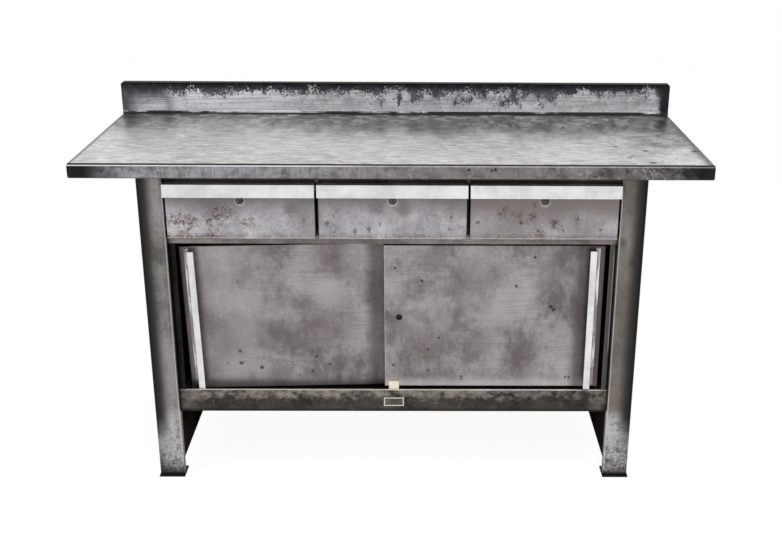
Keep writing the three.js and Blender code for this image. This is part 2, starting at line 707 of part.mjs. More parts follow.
DRAWER_NAMES.forEach((name, i) => {
  const middle = (i - (DRAWER_NAMES.length - 1) / 2) * drawerPitch;
  const dividerFace = PANEL_SHEET / 2 + SEAT;
  const first = i === 0;
  const last = i === DRAWER_NAMES.length - 1;
  const leftWall = middle - drawerPitch / 2 + (first ? SEAT : dividerFace);
  const rightWall = middle + drawerPitch / 2 - (last ? SEAT : dividerFace);
  makeRunner(workbench, `${name}_drawer_left_runner`, leftWall, 1);
  makeRunner(workbench, `${name}_drawer_right_runner`, rightWall, -1);
  makeDrawer(workbench, name, middle);
});

makeTrack(workbench);
makeGuide(workbench);
makeDoor(workbench, 'right', 1, 0, 0, 0);
makeDoor(workbench, 'left', -1, 1, LEFT_DOOR_SAG, LEFT_DOOR_DROP);

export default workbench;
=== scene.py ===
import math

import bmesh
import bpy
from mathutils import Matrix, Vector


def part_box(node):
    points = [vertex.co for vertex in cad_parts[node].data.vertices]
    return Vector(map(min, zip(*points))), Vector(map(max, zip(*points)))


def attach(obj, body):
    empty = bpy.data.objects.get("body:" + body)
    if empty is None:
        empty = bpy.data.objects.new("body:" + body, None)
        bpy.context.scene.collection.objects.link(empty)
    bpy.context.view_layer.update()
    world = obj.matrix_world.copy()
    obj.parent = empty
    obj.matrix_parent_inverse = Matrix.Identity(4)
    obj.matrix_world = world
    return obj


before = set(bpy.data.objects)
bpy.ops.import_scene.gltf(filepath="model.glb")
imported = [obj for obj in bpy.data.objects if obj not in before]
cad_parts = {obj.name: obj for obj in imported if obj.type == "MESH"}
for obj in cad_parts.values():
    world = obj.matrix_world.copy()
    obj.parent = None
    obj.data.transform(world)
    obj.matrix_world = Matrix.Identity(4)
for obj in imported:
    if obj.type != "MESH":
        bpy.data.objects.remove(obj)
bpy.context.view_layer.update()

# End frames. Each is two channels folded from heavy sheet, standing on small plates, with a thin
# panel welded between them and a bearer across their tops. The steel was stripped and brushed, and
# the feet are dark. The faces carry painted shade towards the outer bends and on the inner sides,
# and a painted highlight along the inner bends.
LEG_DARK = (92, 89, 86)
LEG_LIGHT = (150, 147, 144)
LEG_BROWN = (116, 103, 94)
LEG_SHADE_AND_STREAK = (56, 54, 53)
LEG_DEEP_SHADE = (20, 22, 23)
LEG_INNER_BEND_HIGHLIGHT = (200, 198, 195)
LEG_RUBBED = (190, 190, 190)
LEG_BLOTCH = (82, 72, 66)
LEG_BLOTCHES = [(0.609, 0.632, 0.02), (0.596, 0.606, 0.018), (0.563, 0.655, 0.02)]
FOOT_DARK = (50, 49, 49)
FOOT_BLACK = (14, 14, 14)
LEG_FRONT_FACE = (0.014, 0.006)
LEG_REAR_FACE = (-0.014, -0.006)
LEFT_TO_RIGHT = (-0.1, 0.1)
BROWN_TO_RIGHT = (0.0, 0.5)
RUBBED_BAND = (0.05, 0.15, 0.07)
SHADE_RISE = (0.06, 0.19)
SHADE_BELOW = 0.25
OUTER_SHADE = (0.3, 0.75)
OUTER_BEND = (0.68, 1.0)
INNER_BEND = (0.06, 0.025)
INNER_SIDE = (0.08, 0.02)
SPECK_HEIGHTS = (0.14, 0.04)
FOOT_RAG = 0.06
FOOT_RIGHT_DROP = 0.014
FOOT_DARK_HEIGHTS = (0.085, 0.035)
FOOT_BLACK_HEIGHTS = (0.022, 0.006)
STREAK_SIZE = 0.006
SPECK_SIZE = 0.0045
BRUSH_LINE = 0.0018
BRUSH_GLOSS = 0.07
BRUSH_RELIEF = 0.06
BRUSH_DEPTH = 0.0005
MARK_CORE = 0.25
MARK_RAG = 130.0


def feed(tree, socket, value):
    """Set a node's socket to a number, or link another node's output to it."""
    if isinstance(value, bpy.types.NodeSocket):
        tree.links.new(value, socket)
    else:
        socket.default_value = value


def add_node(tree, kind, sockets=None, **settings):
    made = tree.nodes.new(kind)
    for name, value in settings.items():
        setattr(made, name, value)
    for key, value in (sockets or {}).items():
        feed(tree, made.inputs[key], value)
    return made


def output(tree, kind, sockets, **settings):
    """The first output of a new node."""
    return add_node(tree, kind, sockets, **settings).outputs[0]


def colour_of(levels):
    """The linear colour of red, green and blue written as levels from 0 to 255."""
    parts = [level / 255 for level in levels]
    linear = [part / 12.92 if part <= 0.04045 else ((part + 0.055) / 1.055) ** 2.4 for part in parts]
    return (*linear, 1.0)


def calculate(tree, operation, *values):
    return output(tree, "ShaderNodeMath", dict(enumerate(values)), operation=operation)


def all_of(tree, first, *others):
    for other in others:
        first = calculate(tree, "MULTIPLY", first, other)
    return first


def most_of(tree, first, *others):
    for other in others:
        first = calculate(tree, "MAXIMUM", first, other)
    return first


def fade(tree, value, start, end):
    """0 where the value is at start, 1 where it is at end, with a soft step between."""
    sockets = {"Value": value, "From Min": start, "From Max": end, "To Min": 0.0, "To Max": 1.0}
    return output(tree, "ShaderNodeMapRange", sockets, interpolation_type="SMOOTHSTEP")


def band(tree, value, low, high, soft):
    """1 between low and high, and 0 beyond a soft edge outside them."""
    return all_of(tree, fade(tree, value, low - soft, low), fade(tree, value, high + soft, high))


def from_edge(edge, steps):
    """The places that lie the steps from an edge, in metres."""
    return [edge + step for step in steps]


def object_place(tree):
    return add_node(tree, "ShaderNodeTexCoord").outputs["Object"]


def clouds(tree, size, stretch=(1, 1, 1), detail=5.0, grit=0.55, twist=0.0, offset=0.0):
    """Soft patches of about the size given, in metres, drawn out along the axes stretched."""
    scale = [1 / (size * factor) for factor in stretch]
    sockets = {"Vector": object_place(tree), "Location": (offset, offset, offset), "Scale": scale}
    mapped = output(tree, "ShaderNodeMapping", sockets)
    noise = {"Vector": mapped, "Scale": 1.0, "Detail": detail, "Roughness": grit, "Distortion": twist}
    return output(tree, "ShaderNodeTexNoise", noise)


def patches(tree, size, levels, **shape):
    """0 where clouds of the size lie under the first level, 1 where they lie over the second."""
    return fade(tree, clouds(tree, size, **shape), *levels)


def on_face(depth, places):
    """Marks given as x, z and radius, on an upright face."""
    return [(across, depth, up, radius) for across, up, radius in places]


def marks(tree, places, rag=0.003, tall=1.0):
    """1 in marks given as x, y, z and radius in metres, as ragged and as many times as tall as given."""
    place = object_place(tree)
    noise = add_node(tree, "ShaderNodeTexNoise", {"Vector": place, "Scale": MARK_RAG, "Detail": 3.0})
    sockets = {0: noise.outputs["Color"], 1: (2 * rag, 2 * rag, 2 * rag), 2: place}
    shaken = output(tree, "ShaderNodeVectorMath", sockets, operation="MULTIPLY_ADD")
    squat = (1.0, 1.0, 1.0 / tall)
    squashed = output(tree, "ShaderNodeVectorMath", {0: shaken, 1: squat}, operation="MULTIPLY")
    total = 0.0
    for *point, radius in places:
        centre = [(value + rag) * factor for value, factor in zip(point, squat)]
        sockets = {0: squashed, 1: centre}
        away = add_node(tree, "ShaderNodeVectorMath", sockets, operation="DISTANCE")
        total = most_of(tree, fade(tree, away.outputs["Value"], radius, radius * MARK_CORE), total)
    return total


def position(tree):
    """The three coordinates of a point on the bench, in metres."""
    return add_node(tree, "ShaderNodeSeparateXYZ", {"Vector": object_place(tree)}).outputs


def lay_over(tree, amount, under, over, strength=1.0):
    """The colour under, covered by the colour over as far as the amount and the strength say."""
    if strength < 1.0:
        amount = all_of(tree, amount, strength)
    made = add_node(tree, "ShaderNodeMix", {0: amount}, data_type="RGBA")
    for key, colour in ((6, under), (7, over)):
        feed(tree, made.inputs[key], colour_of(colour) if isinstance(colour, tuple) else colour)
    return made.outputs[2]


def new_material(name):
    material = bpy.data.materials.new(name)
    material.use_nodes = True
    return material, material.node_tree


def start_steel(name, dark, light, patch, grain=(1, 1, 1), offset=0.0, contrast=0.13):
    """A stripped steel: broad patches, small mottling, the streaks of the brush and fine specks."""
    material, tree = new_material(name)
    layers = (
        (clouds(tree, patch, twist=0.3, offset=offset), 0.55),
        (clouds(tree, patch / 6, detail=4.0, grit=0.6, offset=offset), 0.2),
        (clouds(tree, STREAK_SIZE, stretch=grain, detail=3.0, offset=offset), 0.13),
        (clouds(tree, SPECK_SIZE, detail=2.0, offset=offset), 0.12),
    )
    amount = 0.0
    for layer, share in layers:
        amount = calculate(tree, "MULTIPLY_ADD", layer, share, amount)
    colour = lay_over(tree, fade(tree, amount, 0.5 - contrast, 0.5 + contrast), dark, light)
    return material, tree, colour


def finish_steel(material, colour, roughness, metallic=0.9, specular=0.5, brush=(1, 1, 1)):
    """Give the shader its colour, and fine brush lines in its roughness and relief."""
    tree = material.node_tree
    shader = tree.nodes["Principled BSDF"].inputs
    lines = clouds(tree, BRUSH_LINE, stretch=brush, detail=2.0)
    smooth, rough = roughness - BRUSH_GLOSS, roughness + BRUSH_GLOSS
    gloss = {"Value": lines, "From Min": 0.3, "From Max": 0.7, "To Min": smooth, "To Max": rough}
    relief = {"Height": lines, "Strength": BRUSH_RELIEF, "Distance": BRUSH_DEPTH}
    feed(tree, shader["Base Color"], colour)
    feed(tree, shader["Metallic"], metallic)
    feed(tree, shader["Roughness"], output(tree, "ShaderNodeMapRange", gloss))
    feed(tree, shader["Specular IOR Level"], specular)
    feed(tree, shader["Normal"], output(tree, "ShaderNodeBump", relief))
    return material


def plain_finish(name, dark, light, patch, **shine):
    """A finish with nothing laid over it."""
    material, tree, steel = start_steel(name, dark, light, patch)
    return finish_steel(material, steel, **shine)


def dress(material, *names):
    for name in names:
        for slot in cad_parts[name].material_slots:
            slot.material = material


leg_low, leg_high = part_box("right_front_leg")
rear_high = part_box("right_rear_leg")[1]
leg_width = leg_high.x - leg_low.x
leg_steel, tree, steel = start_steel("leg_steel", LEG_DARK, LEG_LIGHT, patch=0.13, grain=(1, 1, 12))
x, y, z = position(tree)
across = calculate(tree, "ABSOLUTE", x)
outwards = calculate(tree, "MULTIPLY_ADD", across, 1 / leg_width, -leg_low.x / leg_width)
front_face = fade(tree, y, *from_edge(leg_low.y, LEG_FRONT_FACE))
rear_face = fade(tree, y, *from_edge(rear_high.y, LEG_REAR_FACE))
on_a_face = most_of(tree, front_face, rear_face)
steel = lay_over(tree, fade(tree, x, *BROWN_TO_RIGHT), steel, LEG_BROWN, 0.5)
blotches = marks(tree, on_face(leg_low.y, LEG_BLOTCHES), rag=0.01)
steel = lay_over(tree, blotches, steel, LEG_BLOTCH, 0.7)
rubbed = patches(tree, 0.03, (0.34, 0.56), detail=6.0, grit=0.65, offset=7.0)
rubbed = all_of(tree, band(tree, z, *RUBBED_BAND), rubbed)
steel = lay_over(tree, rubbed, steel, LEG_RUBBED, 0.9)
# Painted shade: the faces darken towards the outer bends, less so near the feet.
above_foot = most_of(tree, fade(tree, z, *SHADE_RISE), SHADE_BELOW)
shaded = all_of(tree, fade(tree, outwards, *OUTER_SHADE), on_a_face, above_foot)
steel = lay_over(tree, shaded, steel, LEG_SHADE_AND_STREAK)
outer_bend_shade = all_of(tree, fade(tree, outwards, *OUTER_BEND), on_a_face, above_foot)
steel = lay_over(tree, outer_bend_shade, steel, LEG_DEEP_SHADE)
# Painted highlight along the inner bends.
inner_bend_highlight = all_of(tree, fade(tree, outwards, *INNER_BEND), on_a_face)
steel = lay_over(tree, inner_bend_highlight, steel, LEG_INNER_BEND_HIGHLIGHT, 0.85)
# Painted shade on the inner side faces of the legs.
off_the_faces = calculate(tree, "SUBTRACT", 1.0, on_a_face)
inner_side_shade = all_of(tree, fade(tree, outwards, *INNER_SIDE), off_the_faces)
steel = lay_over(tree, inner_side_shade, steel, LEG_DEEP_SHADE, 0.9)
specks = patches(tree, 0.006, (0.48, 0.6), grit=0.7, offset=2.0)
specks = all_of(tree, specks, fade(tree, z, *SPECK_HEIGHTS))
steel = lay_over(tree, specks, steel, FOOT_DARK, 0.8)
ragged_foot = calculate(tree, "MULTIPLY_ADD", clouds(tree, 0.02, detail=6.0), FOOT_RAG, z)
on_the_right = fade(tree, x, *LEFT_TO_RIGHT)
foot_edge = calculate(tree, "MULTIPLY_ADD", on_the_right, FOOT_RIGHT_DROP, ragged_foot)
steel = lay_over(tree, fade(tree, foot_edge, *FOOT_DARK_HEIGHTS), steel, FOOT_DARK)
steel = lay_over(tree, fade(tree, z, *FOOT_BLACK_HEIGHTS), steel, FOOT_BLACK)
finish_steel(leg_steel, steel, roughness=0.45, brush=(1, 1, 20))

DARK_STEEL_LOW = (24, 23, 22)
DARK_STEEL_HIGH = (52, 49, 46)
dark_steel = plain_finish(
    "dark_steel", DARK_STEEL_LOW, DARK_STEEL_HIGH, patch=0.1, roughness=0.58, metallic=0.5, specular=0.2
)

SCALE_LOW = (16, 13, 11)
SCALE_HIGH = (42, 36, 31)
panel_low, panel_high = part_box("right_end_panel")
panel_middle = (panel_low.x + panel_high.x) / 2
panel_edge = (panel_high.x - panel_low.x) / 4
end_panel_steel, tree, steel = start_steel("end_panel_steel", SCALE_LOW, SCALE_HIGH, patch=0.12)
x, y, z = position(tree)
across = calculate(tree, "ABSOLUTE", x)
outside = fade(tree, across, panel_middle, panel_middle + panel_edge)
brushed = patches(tree, 0.16, (0.36, 0.64), detail=8.0, grit=0.62, offset=4.0)
brushed = lay_over(tree, brushed, LEG_DARK, LEG_LIGHT)
streaks = patches(tree, STREAK_SIZE, (0.42, 0.66), stretch=(1, 1, 12), detail=4.0, offset=4.0)
brushed = lay_over(tree, streaks, brushed, LEG_SHADE_AND_STREAK, 0.45)
steel = lay_over(tree, outside, steel, brushed)
finish_steel(end_panel_steel, steel, roughness=0.5, metallic=all_of(tree, outside, 0.9), specular=0.0)

for side in ("left", "right"):
    dress(leg_steel, f"{side}_front_leg", f"{side}_rear_leg")
    dress(dark_steel, f"{side}_front_foot_plate", f"{side}_rear_foot_plate", f"{side}_bearer")
    dress(end_panel_steel, f"{side}_end_panel")

# Worktop. One heavy steel pan with a folded skirt, on the bearers and two stiffeners. It is pale
# towards the front edge and darker along the backsplash, partly real stains and partly a painted
# reflection of the backsplash, and the rolled edge shows a painted dark line over a painted highlight.
TOP_BRUSHED_AND_GLINT = (202, 201, 199)
TOP_LIGHT = (233, 232, 230)
TOP_RUB = (248, 248, 247)
TOP_SCUFF = (156, 150, 145)
TOP_DULL_AND_REFLECTION = (109, 103, 101)
TOP_STAIN_AND_REFLECTION = (62, 58, 57)
TOP_SMOKE = (60, 57, 56)
PIT_AND_REFLECTION_DARK = (34, 30, 28)
PAINT_DROP = (252, 250, 242)
TOP_PITS = [
    (0.622, -0.151, 0.012), (0.618, -0.268, 0.012), (0.744, -0.154, 0.016), (0.555, -0.108, 0.008),
    (0.571, -0.221, 0.008), (0.684, 0.01, 0.009),
]
PAINT_DROPS = [
    (-0.591, 0.06, 0.013), (-0.562, 0.018, 0.01), (-0.55, 0.0, 0.015), (-0.542, -0.016, 0.014),
]
SKIRT_LEFT = (162, 160, 165)
SKIRT_RIGHT = (134, 128, 126)
SKIRT_DULL = (86, 82, 82)
SKIRT_STREAK = (104, 100, 100)
SKIRT_END = (34, 33, 33)
SKIRT_HEM = (84, 72, 60)
SKIRT_SPOT = (38, 34, 32)
SKIRT_SPOTS = [
    (-0.682, 0.844, 0.004), (0.181, 0.852, 0.005), (0.235, 0.849, 0.005), (0.243, 0.852, 0.005),
    (0.172, 0.84, 0.003),
]
EDGE_SHADE_LINE = (44, 42, 41)
EDGE_SHINE = (216, 217, 221)
SMEARS_AND_REFLECTION_TO_REAR = (-0.2, 0.15)
REFLECTION_TO_REAR = (-0.12, 0.25)
STAINS_AND_REFLECTION_TO_REAR = (0.08, 0.262)
REAR_STRIP = (0.0, 0.14)
BRIGHT_TO_LEFT = (0.1, -0.5)
REFLECTION_STREAKS_TO_RIGHT = (-0.1, 0.35)
GRIT_TO_RIGHT = (0.42, 0.6)
SMOKE_RIGHT = (0.48, 0.7)
SMOKE_RIGHT_REAR = (-0.26, -0.04)
SMOKE_LEFT = (-0.66, -0.76)
SMOKE_LEFT_REAR = (-0.02, 0.2)
LEFT_RIM = (0.016, 0.003)
RIGHT_RIM = (-0.032, -0.006)
SKIRT_TO_RIGHT = (-0.5, 0.25)
SKIRT_SOILED = (0.35, 0.62)
SKIRT_BLOTTED = (0.3, 0.6)
SKIRT_SCRATCHED = (0.2, 0.5)
SKIRT_END_RAG = 0.09
SKIRT_RIGHT_END = (0.665, 0.785)
SKIRT_LEFT_END = (-0.62, -0.73)
SKIRT_HEM_RISE = (0.005, 0.0)
SHINE_TO_LEFT = (0.05, -0.2)
SHINE_DROP = (-0.0056, -0.004)
SHINE_SOFT = 0.0009
SKIRT_DROP = (-0.0012, -0.0022)
EDGE_DROP = (-0.0028, -0.0003)
EDGE_SOFT = 0.0004


def at_level(level, places):
    """Marks given as x, y and radius, on a level face."""
    return [(across, depth, level, radius) for across, depth, radius in places]


top_low, top_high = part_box("worktop")
worktop_steel, tree, steel = start_steel("worktop_steel", TOP_BRUSHED_AND_GLINT, TOP_LIGHT, 0.2, grain=(22, 2, 1))
x, y, z = position(tree)
scuffs = patches(tree, 0.009, (0.48, 0.62), stretch=(5, 1, 1), detail=6.0, grit=0.72, offset=2.0)
steel = lay_over(tree, scuffs, steel, TOP_SCUFF, 0.6)
# Smears grow towards the backsplash: partly real, partly a painted reflection of the dark backsplash.
smears_and_reflection = patches(tree, 0.03, (0.5, 0.61), stretch=(2.4, 1, 1), detail=7.0, grit=0.74, offset=6.5)
smears_and_reflection = all_of(tree, smears_and_reflection, most_of(tree, fade(tree, y, *SMEARS_AND_REFLECTION_TO_REAR), 0.45))
steel = lay_over(tree, smears_and_reflection, steel, TOP_DULL_AND_REFLECTION, 0.6)
rubs = patches(tree, 0.013, (0.5, 0.6), stretch=(3.5, 1, 1), detail=6.0, grit=0.74, offset=9.5)
steel = lay_over(tree, rubs, steel, TOP_RUB, 0.8)
grit_marks = patches(tree, 0.009, (0.62, 0.7), stretch=(1.5, 1.5, 1), detail=3.0, grit=0.6, offset=1.5)
grit_marks = all_of(tree, grit_marks, most_of(tree, fade(tree, x, *GRIT_TO_RIGHT), 0.12), 0.8)
steel = lay_over(tree, grit_marks, steel, TOP_STAIN_AND_REFLECTION)
# Darker towards the rear: dull patches, and a painted reflection of the backsplash.
dull_patches = clouds(tree, 0.1, stretch=(0.7, 1.6, 1), detail=7.0, grit=0.66, twist=0.2, offset=5.0)
dull_and_reflection_level = calculate(tree, "MULTIPLY_ADD", dull_patches, 1.5, fade(tree, y, *REFLECTION_TO_REAR))
kept_bright = all_of(tree, fade(tree, x, *BRIGHT_TO_LEFT), 0.4)
dull_and_reflection = fade(tree, calculate(tree, "SUBTRACT", dull_and_reflection_level, kept_bright), 0.8, 1.6)
steel = lay_over(tree, dull_and_reflection, steel, TOP_DULL_AND_REFLECTION)
# Stains grow towards the backsplash: partly real, partly a painted reflection of it.
stains_and_reflection = clouds(tree, 0.035, stretch=(0.9, 2.0, 1), detail=8.0, grit=0.76, offset=8.0)
stains_and_reflection = calculate(tree, "MULTIPLY_ADD", stains_and_reflection, 1.2, fade(tree, y, *STAINS_AND_REFLECTION_TO_REAR))
stains_and_reflection = fade(tree, stains_and_reflection, 1.05, 1.75)
steel = lay_over(tree, stains_and_reflection, steel, TOP_STAIN_AND_REFLECTION)
# Painted reflection at the rear: light glints, and dark streaks drawn out towards the backsplash.
at_the_rear = fade(tree, y, *REAR_STRIP)
glints = patches(tree, 0.022, (0.5, 0.6), stretch=(1.6, 1.5, 1), detail=3.0, grit=0.5, offset=11.0)
steel = lay_over(tree, all_of(tree, glints, at_the_rear), steel, TOP_BRUSHED_AND_GLINT, 0.5)
dark_reflection_streaks = patches(tree, 0.024, (0.5, 0.6), stretch=(1, 3.2, 1), detail=4.0, offset=13.0)
reflection_streak_area = all_of(tree, at_the_rear, most_of(tree, fade(tree, x, *REFLECTION_STREAKS_TO_RIGHT), 0.5))
dark_reflection_streaks = all_of(tree, dark_reflection_streaks, reflection_streak_area, 0.8)
steel = lay_over(tree, dark_reflection_streaks, steel, PIT_AND_REFLECTION_DARK)
smoke = patches(tree, 0.07, (0.42, 0.62), detail=7.0, grit=0.65, twist=0.3, offset=3.0)
smoky_right = all_of(tree, fade(tree, x, *SMOKE_RIGHT), fade(tree, y, *SMOKE_RIGHT_REAR))
smoky_left = all_of(tree, fade(tree, x, *SMOKE_LEFT), fade(tree, y, *SMOKE_LEFT_REAR))
smoke = all_of(tree, smoke, most_of(tree, smoky_right, smoky_left), 0.7)
steel = lay_over(tree, smoke, steel, TOP_SMOKE)
left_rim = fade(tree, x, *from_edge(top_low.x, LEFT_RIM))
right_rim = fade(tree, x, *from_edge(top_high.x, RIGHT_RIM))
rims = all_of(tree, most_of(tree, left_rim, right_rim), 0.85)
steel = lay_over(tree, rims, steel, TOP_SMOKE)
pits = marks(tree, at_level(top_high.z, TOP_PITS))
steel = lay_over(tree, pits, steel, PIT_AND_REFLECTION_DARK)
tarnish_and_reflection = most_of(tree, grit_marks, all_of(tree, stains_and_reflection, 0.7), dark_reflection_streaks, smoke, rims, pits)
metal = calculate(tree, "MULTIPLY_ADD", tarnish_and_reflection, -0.75, 0.9)
drops = marks(tree, at_level(top_high.z, PAINT_DROPS))
steel = lay_over(tree, drops, steel, PAINT_DROP)

skirt = lay_over(tree, fade(tree, x, *SKIRT_TO_RIGHT), SKIRT_LEFT, SKIRT_RIGHT)
streaks = patches(tree, 0.0045, (0.46, 0.66), stretch=(1, 1, 7), detail=4.0, grit=0.65, offset=5.5)
skirt = lay_over(tree, streaks, skirt, SKIRT_STREAK, 0.55)
mottle = clouds(tree, 0.024, stretch=(1.6, 1, 1), detail=8.0, grit=0.7, offset=4.0)
soiled = calculate(tree, "MULTIPLY_ADD", fade(tree, x, *SKIRT_SOILED), 0.09, mottle)
skirt = lay_over(tree, fade(tree, soiled, 0.43, 0.66), skirt, SKIRT_DULL, 0.75)
blots = patches(tree, 0.02, (0.49, 0.57), stretch=(1.4, 1, 1), detail=7.0, grit=0.76, offset=15.0)
blots = all_of(tree, blots, most_of(tree, fade(tree, x, *SKIRT_BLOTTED), 0.2))
skirt = lay_over(tree, blots, skirt, SKIRT_END, 0.7)
scratches = patches(tree, 0.008, (0.54, 0.64), stretch=(1.5, 1, 2), grit=0.7, offset=17.0)
scratches = all_of(tree, scratches, most_of(tree, fade(tree, x, *SKIRT_SCRATCHED), 0.4))
skirt = lay_over(tree, scratches, skirt, SKIRT_LEFT, 0.65)
ragged_end = calculate(tree, "MULTIPLY_ADD", mottle, SKIRT_END_RAG, x)
dark_ends = most_of(tree, fade(tree, ragged_end, *SKIRT_RIGHT_END), fade(tree, x, *SKIRT_LEFT_END))
skirt = lay_over(tree, dark_ends, skirt, SKIRT_END)
skirt = lay_over(tree, marks(tree, on_face(top_low.y, SKIRT_SPOTS)), skirt, SKIRT_SPOT)
skirt = lay_over(tree, fade(tree, z, *from_edge(top_low.z, SKIRT_HEM_RISE)), skirt, SKIRT_HEM, 0.8)
# Painted highlight just under the rolled edge.
shine = band(tree, z, *from_edge(top_high.z, SHINE_DROP), SHINE_SOFT)
shine = all_of(tree, shine, most_of(tree, fade(tree, x, *SHINE_TO_LEFT), 0.3))
skirt = lay_over(tree, shine, skirt, EDGE_SHINE)
steel = lay_over(tree, fade(tree, z, *from_edge(top_high.z, SKIRT_DROP)), steel, skirt)
# Painted shade: a dark line along the top of the rolled edge.
edge = band(tree, z, *from_edge(top_high.z, EDGE_DROP), EDGE_SOFT)
steel = lay_over(tree, edge, steel, EDGE_SHADE_LINE)
finish_steel(worktop_steel, steel, roughness=0.36, metallic=metal, specular=0.1, brush=(40, 3, 1))
dress(worktop_steel, "worktop")
dress(dark_steel, "front_stiffener", "rear_stiffener")

# Backsplash. A box folded from sheet, closed at its ends, seam welded to the rear of the worktop
# with a small cove. Its dark mill scale is worn off below in ragged patches with fine level lines,
# stays whole along the top and the right end, and thins out smoothly at the left.
SCALE_BLACK = (28, 30, 34)
SCALE_GREY = (88, 90, 95)
SCALE_STREAK = (48, 50, 54)
SCALE_RIM = (9, 10, 11)
SPLASH_WORN = (170, 171, 174)
SPLASH_BARE = (208, 209, 212)
SPLASH_LINE = (136, 137, 141)
SPLASH_BRIGHT = (224, 226, 230)
COVE_BARE = (172, 174, 178)
COVE_DIRT_AND_SEAM_SHADOW = (46, 43, 42)
WEAR_DROP = 0.021
WEAR_SLOPE = 58.0
WEAR_SPREAD = 4.0
WEAR_GRAIN = 5.5
WEAR_KEPT = 3.6
WEAR_EDGE = (-0.15, 0.4)
ABOVE_WEAR_DROP = (-0.03, -0.006)
SPLASH_RIM_DROP = (-0.005, -0.001)
DARK_END = (0.722, 0.745)
KEPT_BAND = (-0.02, 0.4, 0.12)
WORN_FROM_LEFT = (-0.66, -0.6)
WORN_TO_RIGHT = (0.768, 0.752)
WORN_RIGHT_RAG = 0.06
THIN_DROP = 0.02
THIN_RISE = 0.016
THIN_FROM_LEFT = (-0.762, -0.69)
BRIGHTER_TO_LEFT = (-0.2, -0.45)
RUBBED_FOOT_RISE = (0.04, 0.012)
DIRTY_BANDS = [(0.095, 0.375, 0.03), (0.459, 0.683, 0.03)]
COVE_RISE = (0.0085, 0.006)
SEAM_RISE = (0.0034, 0.0018)

splash_low, splash_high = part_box("backsplash")
splash_steel, tree = new_material("splash_steel")
x, y, z = position(tree)
above_wear = fade(tree, z, *from_edge(splash_high.z, ABOVE_WEAR_DROP))
scale = lay_over(tree, above_wear, SCALE_GREY, SCALE_BLACK)
streaks = patches(tree, 0.02, (0.44, 0.62), stretch=(1, 1, 6), detail=4.0)
scale = lay_over(tree, streaks, scale, SCALE_STREAK, 0.7)
scale = lay_over(tree, fade(tree, z, *from_edge(splash_high.z, SPLASH_RIM_DROP)), scale, SCALE_RIM)
dark_end = fade(tree, x, *DARK_END)
scale = lay_over(tree, dark_end, scale, SCALE_BLACK, 0.8)
spread = clouds(tree, 0.06, stretch=(1.3, 1, 1), twist=0.3, offset=1.0)
grains = clouds(tree, 0.0065, grit=0.72, offset=6.0)
base = WEAR_SLOPE * (splash_high.z - WEAR_DROP) - (WEAR_SPREAD + WEAR_GRAIN) / 2
level = calculate(tree, "MULTIPLY_ADD", z, -WEAR_SLOPE, base)
level = calculate(tree, "MULTIPLY_ADD", spread, WEAR_SPREAD, level)
level = calculate(tree, "MULTIPLY_ADD", grains, WEAR_GRAIN, level)
kept = patches(tree, 0.034, (0.47, 0.66), stretch=(1, 1, 1.5), detail=8.0, grit=0.78, offset=14.0)
kept_along = most_of(tree, band(tree, x, *KEPT_BAND), 0.3)
level = calculate(tree, "SUBTRACT", level, all_of(tree, kept, kept_along, WEAR_KEPT))
off_the_left = fade(tree, x, *WORN_FROM_LEFT)
off_the_right = fade(tree, calculate(tree, "MULTIPLY_ADD", spread, WORN_RIGHT_RAG, x), *WORN_TO_RIGHT)
worn = all_of(tree, fade(tree, level, *WEAR_EDGE), off_the_left, off_the_right)
thin = fade(tree, z, splash_high.z - THIN_DROP, splash_low.z + THIN_RISE)
thin = all_of(tree, thin, fade(tree, x, *THIN_FROM_LEFT), 0.95)
thin = all_of(tree, thin, calculate(tree, "MULTIPLY_ADD", grains, 1.6, 0.15))
on_the_left = calculate(tree, "SUBTRACT", 1.0, off_the_left)
worn = most_of(tree, worn, all_of(tree, thin, on_the_left))
bare = patches(tree, 0.03, (0.4, 0.62), detail=6.0, offset=9.0)
bare = lay_over(tree, bare, SPLASH_WORN, SPLASH_BARE)
bare = lay_over(tree, fade(tree, x, *BRIGHTER_TO_LEFT), bare, SPLASH_BRIGHT, 0.9)
lines = patches(tree, 0.0026, (0.5, 0.64), stretch=(60, 1, 1), detail=1.0, offset=7.0)
bare = lay_over(tree, lines, bare, SPLASH_LINE, 0.7)
rubbed_foot = fade(tree, z, *from_edge(splash_low.z, RUBBED_FOOT_RISE))
bare = lay_over(tree, rubbed_foot, bare, SPLASH_BRIGHT, 0.5)
flecks = patches(tree, 0.005, (0.57, 0.68), stretch=(1.5, 1, 1), detail=4.0, grit=0.7, offset=12.0)
bare = lay_over(tree, flecks, bare, SCALE_GREY, 0.75)
steel = lay_over(tree, worn, scale, bare)
dirt = patches(tree, 0.04, (0.44, 0.58), stretch=(3, 1, 1), detail=6.0, grit=0.65, offset=8.0)
for dirty in DIRTY_BANDS:
    dirt = most_of(tree, dirt, band(tree, x, *dirty))
cove = lay_over(tree, most_of(tree, dirt, dark_end), COVE_BARE, COVE_DIRT_AND_SEAM_SHADOW)
steel = lay_over(tree, fade(tree, z, *from_edge(splash_low.z, COVE_RISE)), steel, cove)
# Painted shadow along the seam under the cove.
steel = lay_over(tree, fade(tree, z, *from_edge(splash_low.z, SEAM_RISE)), steel, COVE_DIRT_AND_SEAM_SHADOW)
metal = calculate(tree, "MULTIPLY_ADD", worn, 0.75, 0.15)
finish_steel(splash_steel, steel, roughness=0.46, metallic=metal, specular=0.04, brush=(40, 1, 1))
dress(splash_steel, "backsplash")

